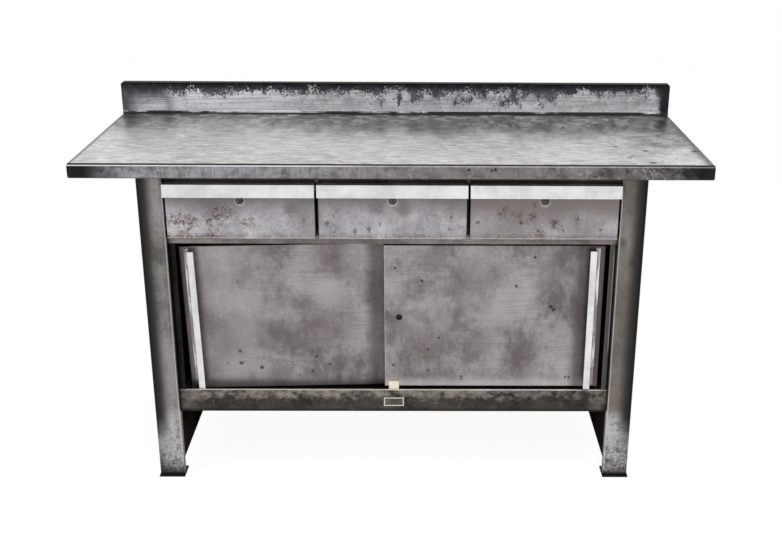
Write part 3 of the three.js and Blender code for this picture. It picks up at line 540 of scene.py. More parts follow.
# Rails and stiles. Folded steel strips welded between the legs: one behind the drawer fronts, one
# under them, one under the doors, and an upright at each end of the doors. They were brushed
# less than the rest and keep a brown cast, partly painted shade on the lower rail. The stiles are
# painted dark as shade, lighter on the right, and the lower rail's top hem has a painted highlight.
RAIL_DARK = (38, 34, 31)
RAIL_MID = (82, 76, 71)
RAIL_PALE = (158, 150, 143)
RAIL_FOOT = (32, 29, 27)
RAIL_HEM_HIGHLIGHT = (178, 174, 169)
RAIL_END = (134, 124, 117)
MID_DARK = (104, 97, 94)
MID_LIGHT = (150, 142, 140)
TOP_RAIL_LOW = (112, 104, 98)
TOP_RAIL_HIGH = (168, 160, 153)
STILE_DARK = (24, 23, 22)
STILE_LIGHT = (46, 44, 42)
STILE_GREY = (112, 107, 103)
STILE_LINE = (184, 184, 186)
RAIL_PALE_RISE = 0.018
RAIL_PALE_DROP = 0.012
RAIL_DARKENS = (-0.1, 0.5)
RAIL_RUBBED_END = (0.49, 0.55)
RAIL_FOOT_RISE = (0.012, 0.0)
RAIL_HEM_DROP = (-0.0024, -0.001)
LINE_WIDTH_BAND = (0.55, 0.552, 0.001)
LINE_HEIGHT_BAND = (0.38, 0.6, 0.05)

rail_low, rail_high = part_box("bottom_rail")
# The rail's dark brown tone is partly painted shade.
rail_steel, tree, steel = start_steel("rail_steel", RAIL_DARK, RAIL_MID, 0.07, grain=(6, 1, 1), offset=9.0)
x, y, z = position(tree)
across = calculate(tree, "ABSOLUTE", x)
pale = clouds(tree, 0.026, stretch=(1.3, 1, 1), detail=8.0, grit=0.76, offset=2.5)
higher = fade(tree, z, rail_low.z + RAIL_PALE_RISE, rail_high.z - RAIL_PALE_DROP)
pale_patches = fade(tree, calculate(tree, "MULTIPLY_ADD", higher, 0.2, pale), 0.58, 0.84)
steel = lay_over(tree, pale_patches, steel, RAIL_PALE, 0.85)
steel = lay_over(tree, fade(tree, x, *RAIL_DARKENS), steel, RAIL_DARK, 0.25)
rubbed_end = all_of(tree, fade(tree, across, *RAIL_RUBBED_END), fade(tree, pale, 0.36, 0.56))
steel = lay_over(tree, rubbed_end, steel, RAIL_END, 0.6)
steel = lay_over(tree, fade(tree, z, *from_edge(rail_low.z, RAIL_FOOT_RISE)), steel, RAIL_FOOT)
# Painted highlight along the top hem.
steel = lay_over(tree, fade(tree, z, *from_edge(rail_high.z, RAIL_HEM_DROP)), steel, RAIL_HEM_HIGHLIGHT)
finish_steel(rail_steel, steel, roughness=0.48, brush=(20, 1, 1))
dress(rail_steel, "bottom_rail")

mid_steel, tree, steel = start_steel("mid_rail_steel", MID_DARK, MID_LIGHT, patch=0.1, grain=(30, 1, 1))
finish_steel(mid_steel, steel, roughness=0.48, brush=(20, 1, 1))
dress(mid_steel, "mid_rail")

# Painted shade: the stiles are dark, the right one painted lighter, with a scratched line on it brightened
# as a painted highlight.
stile_steel, tree, steel = start_steel("stile_steel", STILE_DARK, STILE_LIGHT, patch=0.1, grain=(1, 1, 30))
x, y, z = position(tree)
steel = lay_over(tree, fade(tree, x, *LEFT_TO_RIGHT), steel, STILE_GREY, 0.6)
scratch_and_highlight_line = all_of(tree, band(tree, x, *LINE_WIDTH_BAND), band(tree, z, *LINE_HEIGHT_BAND))
steel = lay_over(tree, scratch_and_highlight_line, steel, STILE_LINE, 0.7)
finish_steel(stile_steel, steel, roughness=0.5, brush=(1, 1, 20))
dress(stile_steel, "left_stile", "right_stile")

top_rail_steel = plain_finish(
    "top_rail_steel", TOP_RAIL_LOW, TOP_RAIL_HIGH, patch=0.08, roughness=0.5, brush=(20, 1, 1)
)
dress(top_rail_steel, "top_rail")

# Cabinet shell. Thin back, floor, deck under the drawers and the partitions between them, folded
# where they stand on each other. The sheet is dull and was never stripped.
PANEL_LOW = (46, 43, 40)
PANEL_HIGH = (96, 91, 86)
panel_steel, tree, steel = start_steel("panel_steel", PANEL_LOW, PANEL_HIGH, patch=0.25, offset=3.0)
finish_steel(panel_steel, steel, roughness=0.52, metallic=0.6, specular=0.2)
dress(panel_steel, "back_panel", "cabinet_floor", "drawer_deck", "left_divider", "right_divider")

# Screws. Slotted dome heads hold the back panel, the ends of the top rail, the pulls and the door
# hangers. Turned steel, pressed to the sheet they hold.
SCREW_DARK = (104, 101, 98)
SCREW_LIGHT = (150, 147, 144)
HEAD_ROUND = 16
HEAD_RINGS = 8
HEAD_HEIGHT = 0.45
SLOT_SIZE = (3.0, 0.28, 1.0)
SLOT_RISE = 1.05
BACK_SCREW_RADIUS = 0.005
BACK_SCREW_INSET = 0.03
BACK_SCREW_COUNT = 7
RAIL_SCREW_RADIUS = 0.0042
RAIL_SCREW_INSET = 0.02
RAIL_SCREW_DROP = 0.0245


def make_screw_heads():
    tree = bpy.data.node_groups.new("screw_heads", "GeometryNodeTree")
    face = tree.interface
    face.new_socket("Geometry", in_out="OUTPUT", socket_type="NodeSocketGeometry")
    face.new_socket("Geometry", in_out="INPUT", socket_type="NodeSocketGeometry")
    kinds = {
        "Head Radius": "NodeSocketFloat",
        "Head Height": "NodeSocketFloat",
        "Facing": "NodeSocketVector",
        "Finish": "NodeSocketMaterial",
    }
    keys = {}
    for name, kind in kinds.items():
        keys[name] = face.new_socket(name, in_out="INPUT", socket_type=kind).identifier
    given = add_node(tree, "NodeGroupInput").outputs
    round_head = {"Segments": HEAD_ROUND, "Rings": HEAD_RINGS, "Radius": 1.0}
    dome = output(tree, "GeometryNodeMeshUVSphere", round_head)
    slot = output(tree, "GeometryNodeMeshCube", {"Size": SLOT_SIZE})
    raising = {"Geometry": slot, "Translation": (0.0, 0.0, SLOT_RISE)}
    raised = output(tree, "GeometryNodeTransform", raising)
    cut = {"Mesh 1": dome, "Mesh 2": raised}
    head = output(tree, "GeometryNodeMeshBoolean", cut, operation="DIFFERENCE")
    sides = {"X": given["Head Radius"], "Y": given["Head Radius"], "Z": given["Head Height"]}
    size = output(tree, "ShaderNodeCombineXYZ", sides)
    turned = output(tree, "FunctionNodeAlignRotationToVector", {"Vector": given["Facing"]}, axis="Z")
    seats = {"Points": given["Geometry"], "Instance": head, "Rotation": turned, "Scale": size}
    placed = output(tree, "GeometryNodeInstanceOnPoints", seats)
    real = output(tree, "GeometryNodeRealizeInstances", {"Geometry": placed})
    dressed = output(tree, "GeometryNodeSetMaterial", {"Geometry": real, "Material": given["Finish"]})
    add_node(tree, "NodeGroupOutput", {"Geometry": dressed})
    return tree, keys


def add_object(name, data):
    made = bpy.data.objects.new(name, data)
    bpy.context.scene.collection.objects.link(made)
    return made


def drive_screws(name, points, facing, radius, body):
    """One mesh of screw heads at the points, on the body that they are driven into."""
    seats = bpy.data.meshes.new(name)
    seats.from_pydata(points, [], [])
    screws = add_object(name, seats)
    heads = screws.modifiers.new("heads", "NODES")
    heads.node_group = screw_heads
    heads[screw_keys["Head Radius"]] = radius
    heads[screw_keys["Head Height"]] = radius * HEAD_HEIGHT
    heads[screw_keys["Facing"]] = facing
    heads[screw_keys["Finish"]] = screw_steel
    ready = screws.evaluated_get(bpy.context.evaluated_depsgraph_get())
    made = bpy.data.meshes.new_from_object(ready)
    screws.modifiers.remove(heads)
    screws.data = made
    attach(screws, body)


screw_heads, screw_keys = make_screw_heads()
screw_steel = plain_finish("screw_steel", SCREW_DARK, SCREW_LIGHT, patch=0.01, roughness=0.4)

back_low, back_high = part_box("back_panel")
span = back_high.x - back_low.x - 2 * BACK_SCREW_INSET
back_screws = []
for i in range(BACK_SCREW_COUNT):
    along = back_low.x + BACK_SCREW_INSET + span * i / (BACK_SCREW_COUNT - 1)
    for level in (back_low.z + BACK_SCREW_INSET, back_high.z - BACK_SCREW_INSET):
        back_screws.append((along, back_high.y, level))
drive_screws("back_panel_screws", back_screws, (0, 1, 0), BACK_SCREW_RADIUS, "bench")

top_rail_low, top_rail_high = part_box("top_rail")
rail_ends = (top_rail_low.x + RAIL_SCREW_INSET, top_rail_high.x - RAIL_SCREW_INSET)
rail_screws = [(end, top_rail_low.y, top_rail_high.z - RAIL_SCREW_DROP) for end in rail_ends]
drive_screws("top_rail_screws", rail_screws, (0, -1, 0), RAIL_SCREW_RADIUS, "bench")

# Plate on the lower rail. A small blank aluminium plate with a bright rim round a darkened field,
# held by a rivet at each end.
PLATE_DARK = (74, 69, 64)
PLATE_LIGHT = (112, 107, 101)
PLATE_RIM = (214, 210, 203)
PLATE_RIM_EDGE = (-0.003, -0.0021)
RIVET_INSET = 0.005
RIVET_RADIUS = 0.0022

plate_low, plate_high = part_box("nameplate")
plate_middle = (plate_low + plate_high) / 2
plate_half = (plate_high - plate_low) / 2
plate_metal, tree, steel = start_steel("nameplate_metal", PLATE_DARK, PLATE_LIGHT, 0.03, grain=(20, 1, 1))
x, y, z = position(tree)
beside = calculate(tree, "ABSOLUTE", calculate(tree, "SUBTRACT", x, plate_middle.x))
above = calculate(tree, "ABSOLUTE", calculate(tree, "SUBTRACT", z, plate_middle.z))
side_rims = fade(tree, beside, *from_edge(plate_half.x, PLATE_RIM_EDGE))
level_rims = fade(tree, above, *from_edge(plate_half.z, PLATE_RIM_EDGE))
steel = lay_over(tree, most_of(tree, side_rims, level_rims), steel, PLATE_RIM)
finish_steel(plate_metal, steel, roughness=0.38)
dress(plate_metal, "nameplate")
plate_ends = (plate_low.x + RIVET_INSET, plate_high.x - RIVET_INSET)
rivets = [(end, plate_low.y, plate_middle.z) for end in plate_ends]
drive_screws("nameplate_rivets", rivets, (0, -1, 0), RIVET_RADIUS, "bench")

# Drawers. Each has a folded tray on plain channel runners, a front folded as a shallow pan, a
# full-width pull of polished aluminium strip along its top, and a cam lock below the pull. The
# fronts are brushed pale, with painted shadow under the pulls and a painted highlight along the
# bottom hem, and have clusters of rust, most on the left one.
FRONT_DARK = (138, 134, 138)
FRONT_LIGHT = (198, 195, 200)
FRONT_DULL_AND_SHADOW = (108, 103, 106)
FRONT_BROWN = (128, 118, 115)
RUST_TINT = (122, 106, 99)
FRONT_HEM_HIGHLIGHT = (206, 204, 205)
RUST = (84, 70, 64)
RUST_PIT = (50, 43, 40)
LOCK_SMEAR = (214, 213, 215)
RUST_CLUSTERS = [
    (-0.532, 0.71, 0.028), (-0.509, 0.712, 0.034), (-0.49, 0.704, 0.026), (-0.506, 0.69, 0.028),
    (-0.444, 0.712, 0.028), (-0.424, 0.726, 0.032), (-0.4, 0.731, 0.024), (-0.435, 0.688, 0.026),
    (-0.437, 0.669, 0.024), (-0.352, 0.705, 0.022), (0.271, 0.731, 0.024), (0.305, 0.723, 0.022),
    (0.34, 0.723, 0.018), (0.32, 0.704, 0.016), (0.394, 0.707, 0.019), (0.404, 0.696, 0.015),
    (0.36, 0.676, 0.02), (0.449, 0.713, 0.015),
]
DARK_MARKS = [
    (-0.216, 0.711, 0.005), (-0.092, 0.683, 0.007), (-0.058, 0.688, 0.007), (-0.16, 0.701, 0.006),
    (-0.145, 0.721, 0.004), (-0.031, 0.701, 0.005), (-0.143, 0.678, 0.005), (0.144, 0.72, 0.006),
    (0.137, 0.689, 0.004), (0.208, 0.707, 0.005), (0.345, 0.751, 0.004), (0.416, 0.685, 0.004),
    (0.509, 0.688, 0.004),
]
SMUDGES = [(-0.246, 0.739, 0.028), (-0.043, 0.744, 0.03), (0.03, 0.74, 0.03), (-0.442, 0.748, 0.05)]
LOCK_SMEARS = [(-0.37, 0.7565, 0.016), (0.0, 0.7565, 0.016), (0.37, 0.7565, 0.016)]
PULL_SCUFF = (206, 207, 209)
PULL_BRIGHT = (236, 236, 237)
LOCK_DARK = (66, 64, 63)
LOCK_LIGHT = (100, 97, 95)
LOCK_SHADE_LOW = (34, 32, 31)
LOCK_SHADE_HIGH = (52, 49, 48)
PULL_SCREWS = 4
PULL_SCREW_RADIUS = 0.0032
PULL_SCREW_DROP = 0.011
PULL_WALL = 0.002
RIM_WIDTH = 0.0016
RIM_PROUD = 0.0007
KEYWAY_WIDTH = 0.0016
KEYWAY_HEIGHT = 0.0075
RING_STEPS = 32
UNDER_PULL_DROP = (-0.1, -0.035)
BROWN_FRONT = (0.16, 0.2)
RUSTY_TO_LEFT = (-0.39, -0.43)
RUSTY_EDGE_RISE = (0.021, 0.005)
FRONT_HEM_RISE = (0.003, 0.0045)
FRONT_HEM_SOFT = 0.0012

front_low, front_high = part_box("left_drawer_front")
drawer_steel, tree, steel = start_steel("drawer_steel", FRONT_DARK, FRONT_LIGHT, patch=0.15, offset=1.7)
x, y, z = position(tree)
# Painted shadow under the pull: darker and browner towards the top of the front.
shadow_under_pull = fade(tree, z, *from_edge(front_high.z, UNDER_PULL_DROP))
steel = lay_over(tree, shadow_under_pull, steel, FRONT_DULL_AND_SHADOW, 0.8)
browner = calculate(tree, "MULTIPLY_ADD", shadow_under_pull, 0.6, 0.35)
steel = lay_over(tree, all_of(tree, fade(tree, x, *BROWN_FRONT), browner), steel, FRONT_BROWN)
smudges = marks(tree, on_face(front_low.y, SMUDGES), rag=0.012)
steel = lay_over(tree, smudges, steel, FRONT_DULL_AND_SHADOW, 0.6)
clusters = marks(tree, on_face(front_low.y, RUST_CLUSTERS), rag=0.014)
tints = clouds(tree, 0.02, grit=0.65, offset=5.1)
steel = lay_over(tree, all_of(tree, clusters, fade(tree, tints, 0.4, 0.6)), steel, RUST_TINT, 0.7)
rusty_edge = fade(tree, z, *from_edge(front_low.z, RUSTY_EDGE_RISE))
rusty_edge = all_of(tree, rusty_edge, most_of(tree, fade(tree, x, *RUSTY_TO_LEFT), 0.45))
steel = lay_over(tree, all_of(tree, rusty_edge, fade(tree, tints, 0.36, 0.54)), steel, RUST_TINT, 0.85)
flecks = patches(tree, 0.0065, (0.48, 0.59), detail=4.0, grit=0.68, offset=3.3)
steel = lay_over(tree, all_of(tree, flecks, most_of(tree, clusters, rusty_edge)), steel, RUST, 0.9)
# Painted highlight along the folded bottom hem.
hem_highlight = band(tree, z, *from_edge(front_low.z, FRONT_HEM_RISE), FRONT_HEM_SOFT)
steel = lay_over(tree, hem_highlight, steel, FRONT_HEM_HIGHLIGHT, 0.4)
dots = patches(tree, 0.008, (0.7, 0.76), detail=2.0, offset=8.8)
dark_marks = marks(tree, on_face(front_low.y, DARK_MARKS), rag=0.009, tall=1.8)
steel = lay_over(tree, most_of(tree, all_of(tree, dark_marks, 0.62), dots), steel, RUST_PIT)
lock_smears = marks(tree, on_face(front_low.y, LOCK_SMEARS))
steel = lay_over(tree, lock_smears, steel, LOCK_SMEAR, 0.5)
finish_steel(drawer_steel, steel, roughness=0.42, brush=(1, 1, 4))

pull_metal, tree, steel = start_steel("bright_aluminium", PULL_SCUFF, PULL_BRIGHT, 0.08, grain=(30, 1, 1))
finish_steel(pull_metal, steel, roughness=0.36, brush=(30, 1, 30))
lock_steel = plain_finish("lock_steel", LOCK_DARK, LOCK_LIGHT, patch=0.012, roughness=0.4)
lock_shade = plain_finish("lock_shade", LOCK_SHADE_LOW, LOCK_SHADE_HIGH, patch=0.01, roughness=0.5)


def add_mesh(name, mesh, material, body):
    made = bpy.data.meshes.new(name)
    bmesh.ops.recalc_face_normals(mesh, faces=mesh.faces)
    mesh.to_mesh(made)
    mesh.free()
    made.materials.append(material)
    piece = add_object(name, made)
    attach(piece, body)


def turned_ring(centre, profile):
    """A ring about a line along Y, turned from a closed profile of (radius, y)."""
    mesh = bmesh.new()
    rows = []
    for step in range(RING_STEPS):
        angle = 2 * math.pi * step / RING_STEPS
        way = Vector((math.cos(angle), 0, math.sin(angle)))
        points = [Vector((centre.x, depth, centre.z)) + radius * way for radius, depth in profile]
        rows.append([mesh.verts.new(point) for point in points])
    for row, following in zip(rows, rows[1:] + rows[:1]):
        for i, j in enumerate([*range(1, len(profile)), 0]):
            mesh.faces.new((row[i], row[j], following[j], following[i]))
    return mesh


def block(low, high):
    mesh = bmesh.new()
    size = Vector(high) - Vector(low)
    middle = (Vector(high) + Vector(low)) / 2
    bmesh.ops.create_cube(mesh, size=1.0, matrix=Matrix.Translation(middle) @ Matrix.Diagonal((*size, 1.0)))
    return mesh


for name in ("left", "centre", "right"):
    dress(panel_steel, f"{name}_drawer_tray")
    dress(dark_steel, f"{name}_drawer_left_runner", f"{name}_drawer_right_runner")
    dress(drawer_steel, f"{name}_drawer_front")
    dress(pull_metal, f"{name}_drawer_pull")
    dress(lock_steel, f"{name}_drawer_lock")

    low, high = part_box(f"{name}_drawer_front")
    lock_low, lock_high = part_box(f"{name}_drawer_lock")
    lock_radius = (lock_high.z - lock_low.z) / 2
    centre = Vector(((low.x + high.x) / 2, low.y, (lock_low.z + lock_high.z) / 2))
    rim = [
        (lock_radius - RIM_WIDTH, low.y - RIM_PROUD),
        (lock_radius, low.y - RIM_PROUD),
        (lock_radius, low.y + RIM_PROUD),
        (lock_radius - RIM_WIDTH, low.y + RIM_PROUD),
    ]
    add_mesh(f"{name}_drawer_lock_rim", turned_ring(centre, rim), lock_shade, f"{name}_lock")
    keyway_corner = Vector((KEYWAY_WIDTH / 2, RIM_PROUD, KEYWAY_HEIGHT / 2))
    keyway = block(centre - keyway_corner * Vector((1, 0.5, 1)), centre + keyway_corner)
    add_mesh(f"{name}_drawer_lock_keyway", keyway, lock_shade, f"{name}_lock")

    pull_low, pull_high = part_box(f"{name}_drawer_pull")
    pitch = (pull_high.x - pull_low.x) / PULL_SCREWS
    level = pull_high.z - PULL_SCREW_DROP
    seat = pull_high.y - PULL_WALL
    heads = [(pull_low.x + pitch * (i + 0.5), seat, level) for i in range(PULL_SCREWS)]
    drive_screws(f"{name}_drawer_pull_screws", heads, (0, -1, 0), PULL_SCREW_RADIUS, f"{name}_drawer")

# Sliding doors. Flat pans folded from sheet, hung on rollers from a double track behind the rail,
# the right one in front. The left one hangs out of level. Each has a tall pull of bright Z strip,
# and the right one a round hole whose lock is gone. A nylon block guides their lower edges.
DOOR_DARK = (108, 102, 103)
DOOR_LIGHT = (163, 156, 159)
DOOR_STREAK = (116, 110, 110)
DOOR_PALE = (198, 191, 193)
DOOR_BROWN = (106, 97, 92)
DOOR_SHADE = (78, 72, 70)
DOOR_MARGIN = (92, 78, 74)
DOOR_SPOT = (44, 39, 37)
DOOR_RIM_HIGHLIGHT = (192, 188, 190)
LEFT_DOOR_TILT = math.radians(1.3)
LEFT_BROWN = [
    (-0.185, 0.4, 0.115), (-0.225, 0.462, 0.052), (-0.475, 0.416, 0.057), (-0.3, 0.607, 0.046),
    (-0.15, 0.6, 0.08), (-0.304, 0.4, 0.04), (-0.299, 0.269, 0.046), (-0.476, 0.28, 0.046),
]
LEFT_RUBS = [
    (-0.442, 0.493, 0.06), (-0.378, 0.466, 0.045), (-0.258, 0.516, 0.038), (-0.262, 0.428, 0.033),
    (-0.172, 0.502, 0.045), (-0.091, 0.511, 0.038), (-0.441, 0.596, 0.075), (-0.381, 0.405, 0.053),
    (-0.099, 0.592, 0.053),
]
LEFT_SPOTS = [
    (-0.399, 0.335, 0.006), (-0.398, 0.301, 0.007), (-0.391, 0.304, 0.004), (-0.345, 0.288, 0.008),
    (-0.433, 0.301, 0.004), (-0.397, 0.526, 0.004), (-0.342, 0.564, 0.004), (-0.2, 0.321, 0.005),
    (-0.167, 0.298, 0.006), (-0.212, 0.278, 0.005),
]
RIGHT_BROWN = [
    (0.193, 0.542, 0.081), (0.1, 0.595, 0.057), (0.169, 0.504, 0.046), (0.249, 0.547, 0.052),
    (0.08, 0.365, 0.086), (0.212, 0.371, 0.069), (0.322, 0.326, 0.057), (0.406, 0.464, 0.034),
]
RIGHT_RUBS = [
    (0.042, 0.432, 0.053), (0.118, 0.449, 0.053), (0.194, 0.474, 0.045), (0.27, 0.488, 0.053),
    (0.331, 0.504, 0.053), (0.207, 0.606, 0.068), (0.001, 0.519, 0.053), (0.369, 0.564, 0.06),
    (0.407, 0.281, 0.068),
]
RIGHT_SPOTS = [
    (0.004, 0.573, 0.006), (0.072, 0.539, 0.006), (0.31, 0.526, 0.006), (0.355, 0.603, 0.006),
    (0.4, 0.469, 0.009), (0.408, 0.461, 0.009), (0.116, 0.382, 0.005), (-0.001, 0.306, 0.006),
    (0.088, 0.351, 0.005), (0.089, 0.292, 0.005), (0.175, 0.275, 0.005), (0.175, 0.267, 0.005),
    (0.446, 0.272, 0.005), (0.456, 0.272, 0.005),
]
PULL_TARNISH = (146, 132, 130)
PULL_LIP_DEPTH = 0.004
NYLON_LIGHT = (242, 236, 214)
NYLON_AGED = (228, 219, 192)
HOLE_LOW = (40, 38, 36)
HOLE_HIGH = (66, 62, 60)
DOOR_PULL_SCREWS = 4
DOOR_PULL_SCREW_RADIUS = 0.0034
DOOR_PULL_SCREW_INSET = 0.0205
HANGER_SCREW_RADIUS = 0.004
HANGER_SCREW_SPREAD = 0.011
HANGER_SCREW_RISE = 0.015
HOLE_RADIUS = 0.0085
HOLE_INSET = 0.038
BUSH_WALL = 0.0012
BUSH_DEPTH = 0.012
BUSH_GAP = 0.0001
PALER_TO_LEFT = (-0.25, -0.42)
DOOR_FOOT_RISE = (0.035, 0.004)
DOOR_RIM_EDGE = (0.0032, 0.0014)
RIGHT_PULL_SHADE = (0.445, 0.475)
LEFT_OVERLAP_SHADE = (-0.082, -0.046)
RIGHT_MARGIN = (-0.032, -0.022)
LEFT_MARGIN = (0.036, 0.026)


def door_finish(name, browned, rubs, spots, shade_span, margin, corner, offset):
    """Brushed door steel with its patches and spots, and painted shade growing between two places along X.
    """
    material, tree, steel = start_steel(
        name, DOOR_DARK, DOOR_LIGHT, patch=0.12, grain=(2, 1, 5), offset=offset, contrast=0.1
    )
    x, y, z = position(tree)
    swirls = patches(tree, 0.05, (0.54, 0.68), stretch=(1, 1, 2.5), detail=4.0, twist=0.6, offset=offset)
    steel = lay_over(tree, swirls, steel, DOOR_LIGHT, 0.35)
    streaks = patches(tree, 0.004, (0.48, 0.64), stretch=(16, 1, 1), detail=4.0, grit=0.65, offset=offset)
    steel = lay_over(tree, streaks, steel, DOOR_STREAK, 0.35)
    steel = lay_over(tree, fade(tree, x, *PALER_TO_LEFT), steel, DOOR_LIGHT, 0.4)
    # Painted light: paler along the foot of each door.
    steel = lay_over(tree, fade(tree, z, *from_edge(corner.z, DOOR_FOOT_RISE)), steel, DOOR_PALE, 0.6)
    steel = lay_over(tree, marks(tree, on_face(corner.y, browned), rag=0.03), steel, DOOR_BROWN, 0.5)
    steel = lay_over(tree, marks(tree, on_face(corner.y, rubs), rag=0.012, tall=1.5), steel, DOOR_PALE, 0.2)
    steel = lay_over(tree, marks(tree, on_face(corner.y, spots), rag=0.0045), steel, DOOR_SPOT, 0.85)
    # Painted shade: beside the right door's pull, and on the left door where the right door overlaps it.
    steel = lay_over(tree, fade(tree, x, *shade_span), steel, DOOR_SHADE, 0.75)
    steel = lay_over(tree, fade(tree, x, *margin), steel, DOOR_MARGIN, 0.7)
    # Painted highlight along the side and lower edges.
    side_rim = fade(tree, x, *from_edge(corner.x, DOOR_RIM_EDGE))
    lower_rim = fade(tree, z, *from_edge(corner.z, DOOR_RIM_EDGE))
    steel = lay_over(tree, most_of(tree, side_rim, lower_rim), steel, DOOR_RIM_HIGHLIGHT, 0.7)
    return finish_steel(material, steel, roughness=0.4, brush=(1, 1, 6))


def door_pull_finish(name, lip_rear):
    """Pull strip that is bright on its lip and tarnished on the web and the flange behind it."""
    material, tree, steel = start_steel(name, PULL_SCUFF, PULL_BRIGHT, 0.08, grain=(1, 1, 30))
    x, y, z = position(tree)
    behind = fade(tree, y, lip_rear, lip_rear + PULL_LIP_DEPTH)
    streaks = patches(tree, 0.01, (0.36, 0.58), stretch=(1, 1, 9), detail=4.0)
    steel = lay_over(tree, all_of(tree, behind, streaks), steel, PULL_TARNISH)
    return finish_steel(material, steel, roughness=0.36, brush=(1, 1, 30))


nylon = plain_finish(
    "cream_nylon", NYLON_AGED, NYLON_LIGHT, patch=0.015, roughness=0.55, metallic=0.0, specular=0.4
)
hole_shade = plain_finish("lock_hole_shade", HOLE_LOW, HOLE_HIGH, patch=0.01, roughness=0.6, metallic=0.2)
dress(nylon, "door_guide")
dress(dark_steel, "door_track")

door_low, door_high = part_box("right_door")
door_width = door_high.x - door_low.x
right_margin = from_edge(door_high.x, RIGHT_MARGIN)
right_marks = (RIGHT_BROWN, RIGHT_RUBS, RIGHT_SPOTS, RIGHT_PULL_SHADE, right_margin)
right_finish = door_finish("right_door_steel", *right_marks, corner=door_low, offset=6.4)
left_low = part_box("left_door")[0]
left_margin = from_edge(left_low.x, LEFT_MARGIN)
left_marks = (LEFT_BROWN, LEFT_RUBS, LEFT_SPOTS, LEFT_OVERLAP_SHADE, left_margin)
left_finish = door_finish("left_door_steel", *left_marks, corner=left_low, offset=2.9)

doors = (("right", 1, 0.0, right_finish), ("left", -1, LEFT_DOOR_TILT, left_finish))
for name, side, tilt, finish in doors:
    body = f"{name}_sliding_door"
    dress(finish, f"{name}_door")
    low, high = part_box(f"{name}_door")
    pull_low, pull_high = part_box(f"{name}_door_pull")
    dress(door_pull_finish(f"{name}_door_pull_metal", pull_low.y + PULL_WALL), f"{name}_door_pull")

    hung_from = Vector((low.x if side > 0 else high.x, 0, low.z + door_width * math.sin(tilt)))
    hang = Matrix.Translation(hung_from) @ Matrix.Rotation(-tilt, 4, "Y")
    pull_start = pull_low.z - low.z
    pitch = (pull_high.z - pull_low.z) / DOOR_PULL_SCREWS
    inset = side * (door_width - DOOR_PULL_SCREW_INSET)
    seat = pull_high.y - PULL_WALL
    heads = [hang @ Vector((inset, seat, pull_start + pitch * (i + 0.5))) for i in range(DOOR_PULL_SCREWS)]
    drive_screws(f"{name}_door_pull_screws", heads, (0, -1, 0), DOOR_PULL_SCREW_RADIUS, body)

    for place in ("inner", "outer"):
        hanger = f"{name}_door_{place}_hanger"
        dress(dark_steel, hanger)
        dress(lock_steel, f"{name}_door_{place}_roller")
        hanger_low, hanger_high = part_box(hanger)
        middle = (hanger_low.x + hanger_high.x) / 2
        level = hanger_low.z + HANGER_SCREW_RISE
        sides = (middle - HANGER_SCREW_SPREAD, middle + HANGER_SCREW_SPREAD)
        pair = [(across, hanger_high.y, level) for across in sides]
        drive_screws(f"{hanger}_screws", pair, (0, 1, 0), HANGER_SCREW_RADIUS, body)

hole = Vector((door_low.x + HOLE_INSET, 0, (door_low.z + door_high.z) / 2))
bush_outside = HOLE_RADIUS - BUSH_GAP
bush_inside = HOLE_RADIUS - BUSH_WALL
bush_front = door_low.y + BUSH_WALL / 2
bush_rear = door_low.y + BUSH_DEPTH
bush = [
    (bush_inside, bush_front),
    (bush_outside, bush_front),
    (bush_outside, bush_rear),
    (BUSH_GAP, bush_rear),
    (BUSH_GAP, bush_rear - BUSH_WALL),
    (bush_inside, bush_rear - BUSH_WALL),
]
add_mesh("right_door_lock_bush", turned_ring(hole, bush), hole_shade, "right_sliding_door")

# Studio. A pale floor that runs on into a white surround, one large soft lamp over the front and
# a weaker one at the left, and the camera at the photograph's viewpoint, a little right of centre.
# The floor's glow and its lit share add up to white, and the lit share carries the shadow.
FLOOR_HALF = 7.0
FLOOR_SHARE = 0.88
FLOOR_GLOW = 1.06
FLOOR_GREY = (0.9, 0.9, 0.9, 1.0)
WHITE = (1.0, 1.0, 1.0, 1.0)
SURROUND_LIGHT = 0.55
KEY_PLACE = (0.6, -2.2, 3.2)
KEY_AIM = (0, 0, 0.6)
KEY_SIZE = 2.2
KEY_POWER = 60.0
FILL_PLACE = (-2.8, -1.6, 1.6)
FILL_AIM = (0, 0, 0.5)
FILL_SIZE = 1.6
FILL_POWER = 18.0
CAMERA_PLACE = (0.0604, -2.9043, 1.5453)
CAMERA_PITCH = 20.938
CAMERA_YAW = -0.614
CAMERA_ROLL = -0.368
CAMERA_LENS = 52.7
CAMERA_SENSOR = 36.0
CAMERA_SHIFT = (-0.0483, 0.0205)


def seen_directly(tree):
    """1 for the camera and for what shines or shows through, 0 for the light on the bench."""
    path = add_node(tree, "ShaderNodeLightPath").outputs
    return most_of(tree, path["Is Camera Ray"], path["Is Glossy Ray"], path["Is Transmission Ray"])


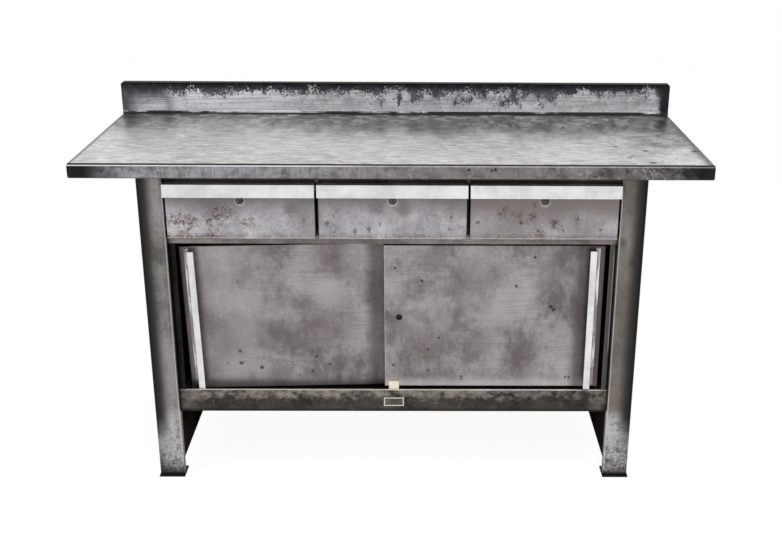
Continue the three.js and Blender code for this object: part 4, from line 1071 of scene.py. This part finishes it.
floor_mesh = bpy.data.meshes.new("floor")
floor_corners = [(x * FLOOR_HALF, y * FLOOR_HALF, 0) for x, y in ((-1, -1), (1, -1), (1, 1), (-1, 1))]
floor_mesh.from_pydata(floor_corners, [], [(0, 1, 2, 3)])
floor = add_object("floor", floor_mesh)
floor_finish, tree = new_material("floor_finish")
tree.nodes.clear()
matt = output(tree, "ShaderNodeBsdfDiffuse", {"Color": FLOOR_GREY})
glow = output(tree, "ShaderNodeEmission", {"Color": WHITE, "Strength": FLOOR_GLOW})
share = all_of(tree, seen_directly(tree), FLOOR_SHARE)
blend = output(tree, "ShaderNodeMixShader", {0: share, 1: matt, 2: glow})
add_node(tree, "ShaderNodeOutputMaterial", {"Surface": blend})
floor_mesh.materials.append(floor_finish)

world = bpy.data.worlds.new("surround")
bpy.context.scene.world = world
world.use_nodes = True
tree = world.node_tree
tree.nodes.clear()
level = {"Value": seen_directly(tree), "To Min": SURROUND_LIGHT, "To Max": 1.0}
level = output(tree, "ShaderNodeMapRange", level)
backdrop = output(tree, "ShaderNodeBackground", {"Color": WHITE, "Strength": level})
add_node(tree, "ShaderNodeOutputWorld", {"Surface": backdrop})


def hang_lamp(name, place, aim, size, power):
    lamp = bpy.data.lights.new(name, "AREA")
    lamp.shape = "SQUARE"
    lamp.size = size
    lamp.energy = power
    hung = add_object(name, lamp)
    hung.location = place
    hung.rotation_euler = (Vector(aim) - Vector(place)).to_track_quat("-Z", "Y").to_euler()


hang_lamp("key_lamp", KEY_PLACE, KEY_AIM, KEY_SIZE, KEY_POWER)
hang_lamp("fill_lamp", FILL_PLACE, FILL_AIM, FILL_SIZE, FILL_POWER)

camera = bpy.data.cameras.new("camera")
camera.sensor_fit = "HORIZONTAL"
camera.sensor_width = CAMERA_SENSOR
camera.lens = CAMERA_LENS
camera.shift_x, camera.shift_y = CAMERA_SHIFT
viewpoint = add_object("camera", camera)
turn = Matrix.Rotation(math.radians(CAMERA_YAW), 4, "Z")
tip = Matrix.Rotation(math.radians(90 - CAMERA_PITCH), 4, "X")
lean = Matrix.Rotation(math.radians(-CAMERA_ROLL), 4, "Z")
viewpoint.matrix_world = Matrix.Translation(CAMERA_PLACE) @ turn @ tip @ lean
bpy.context.scene.camera = viewpoint
bpy.context.scene.view_settings.view_transform = "Standard"
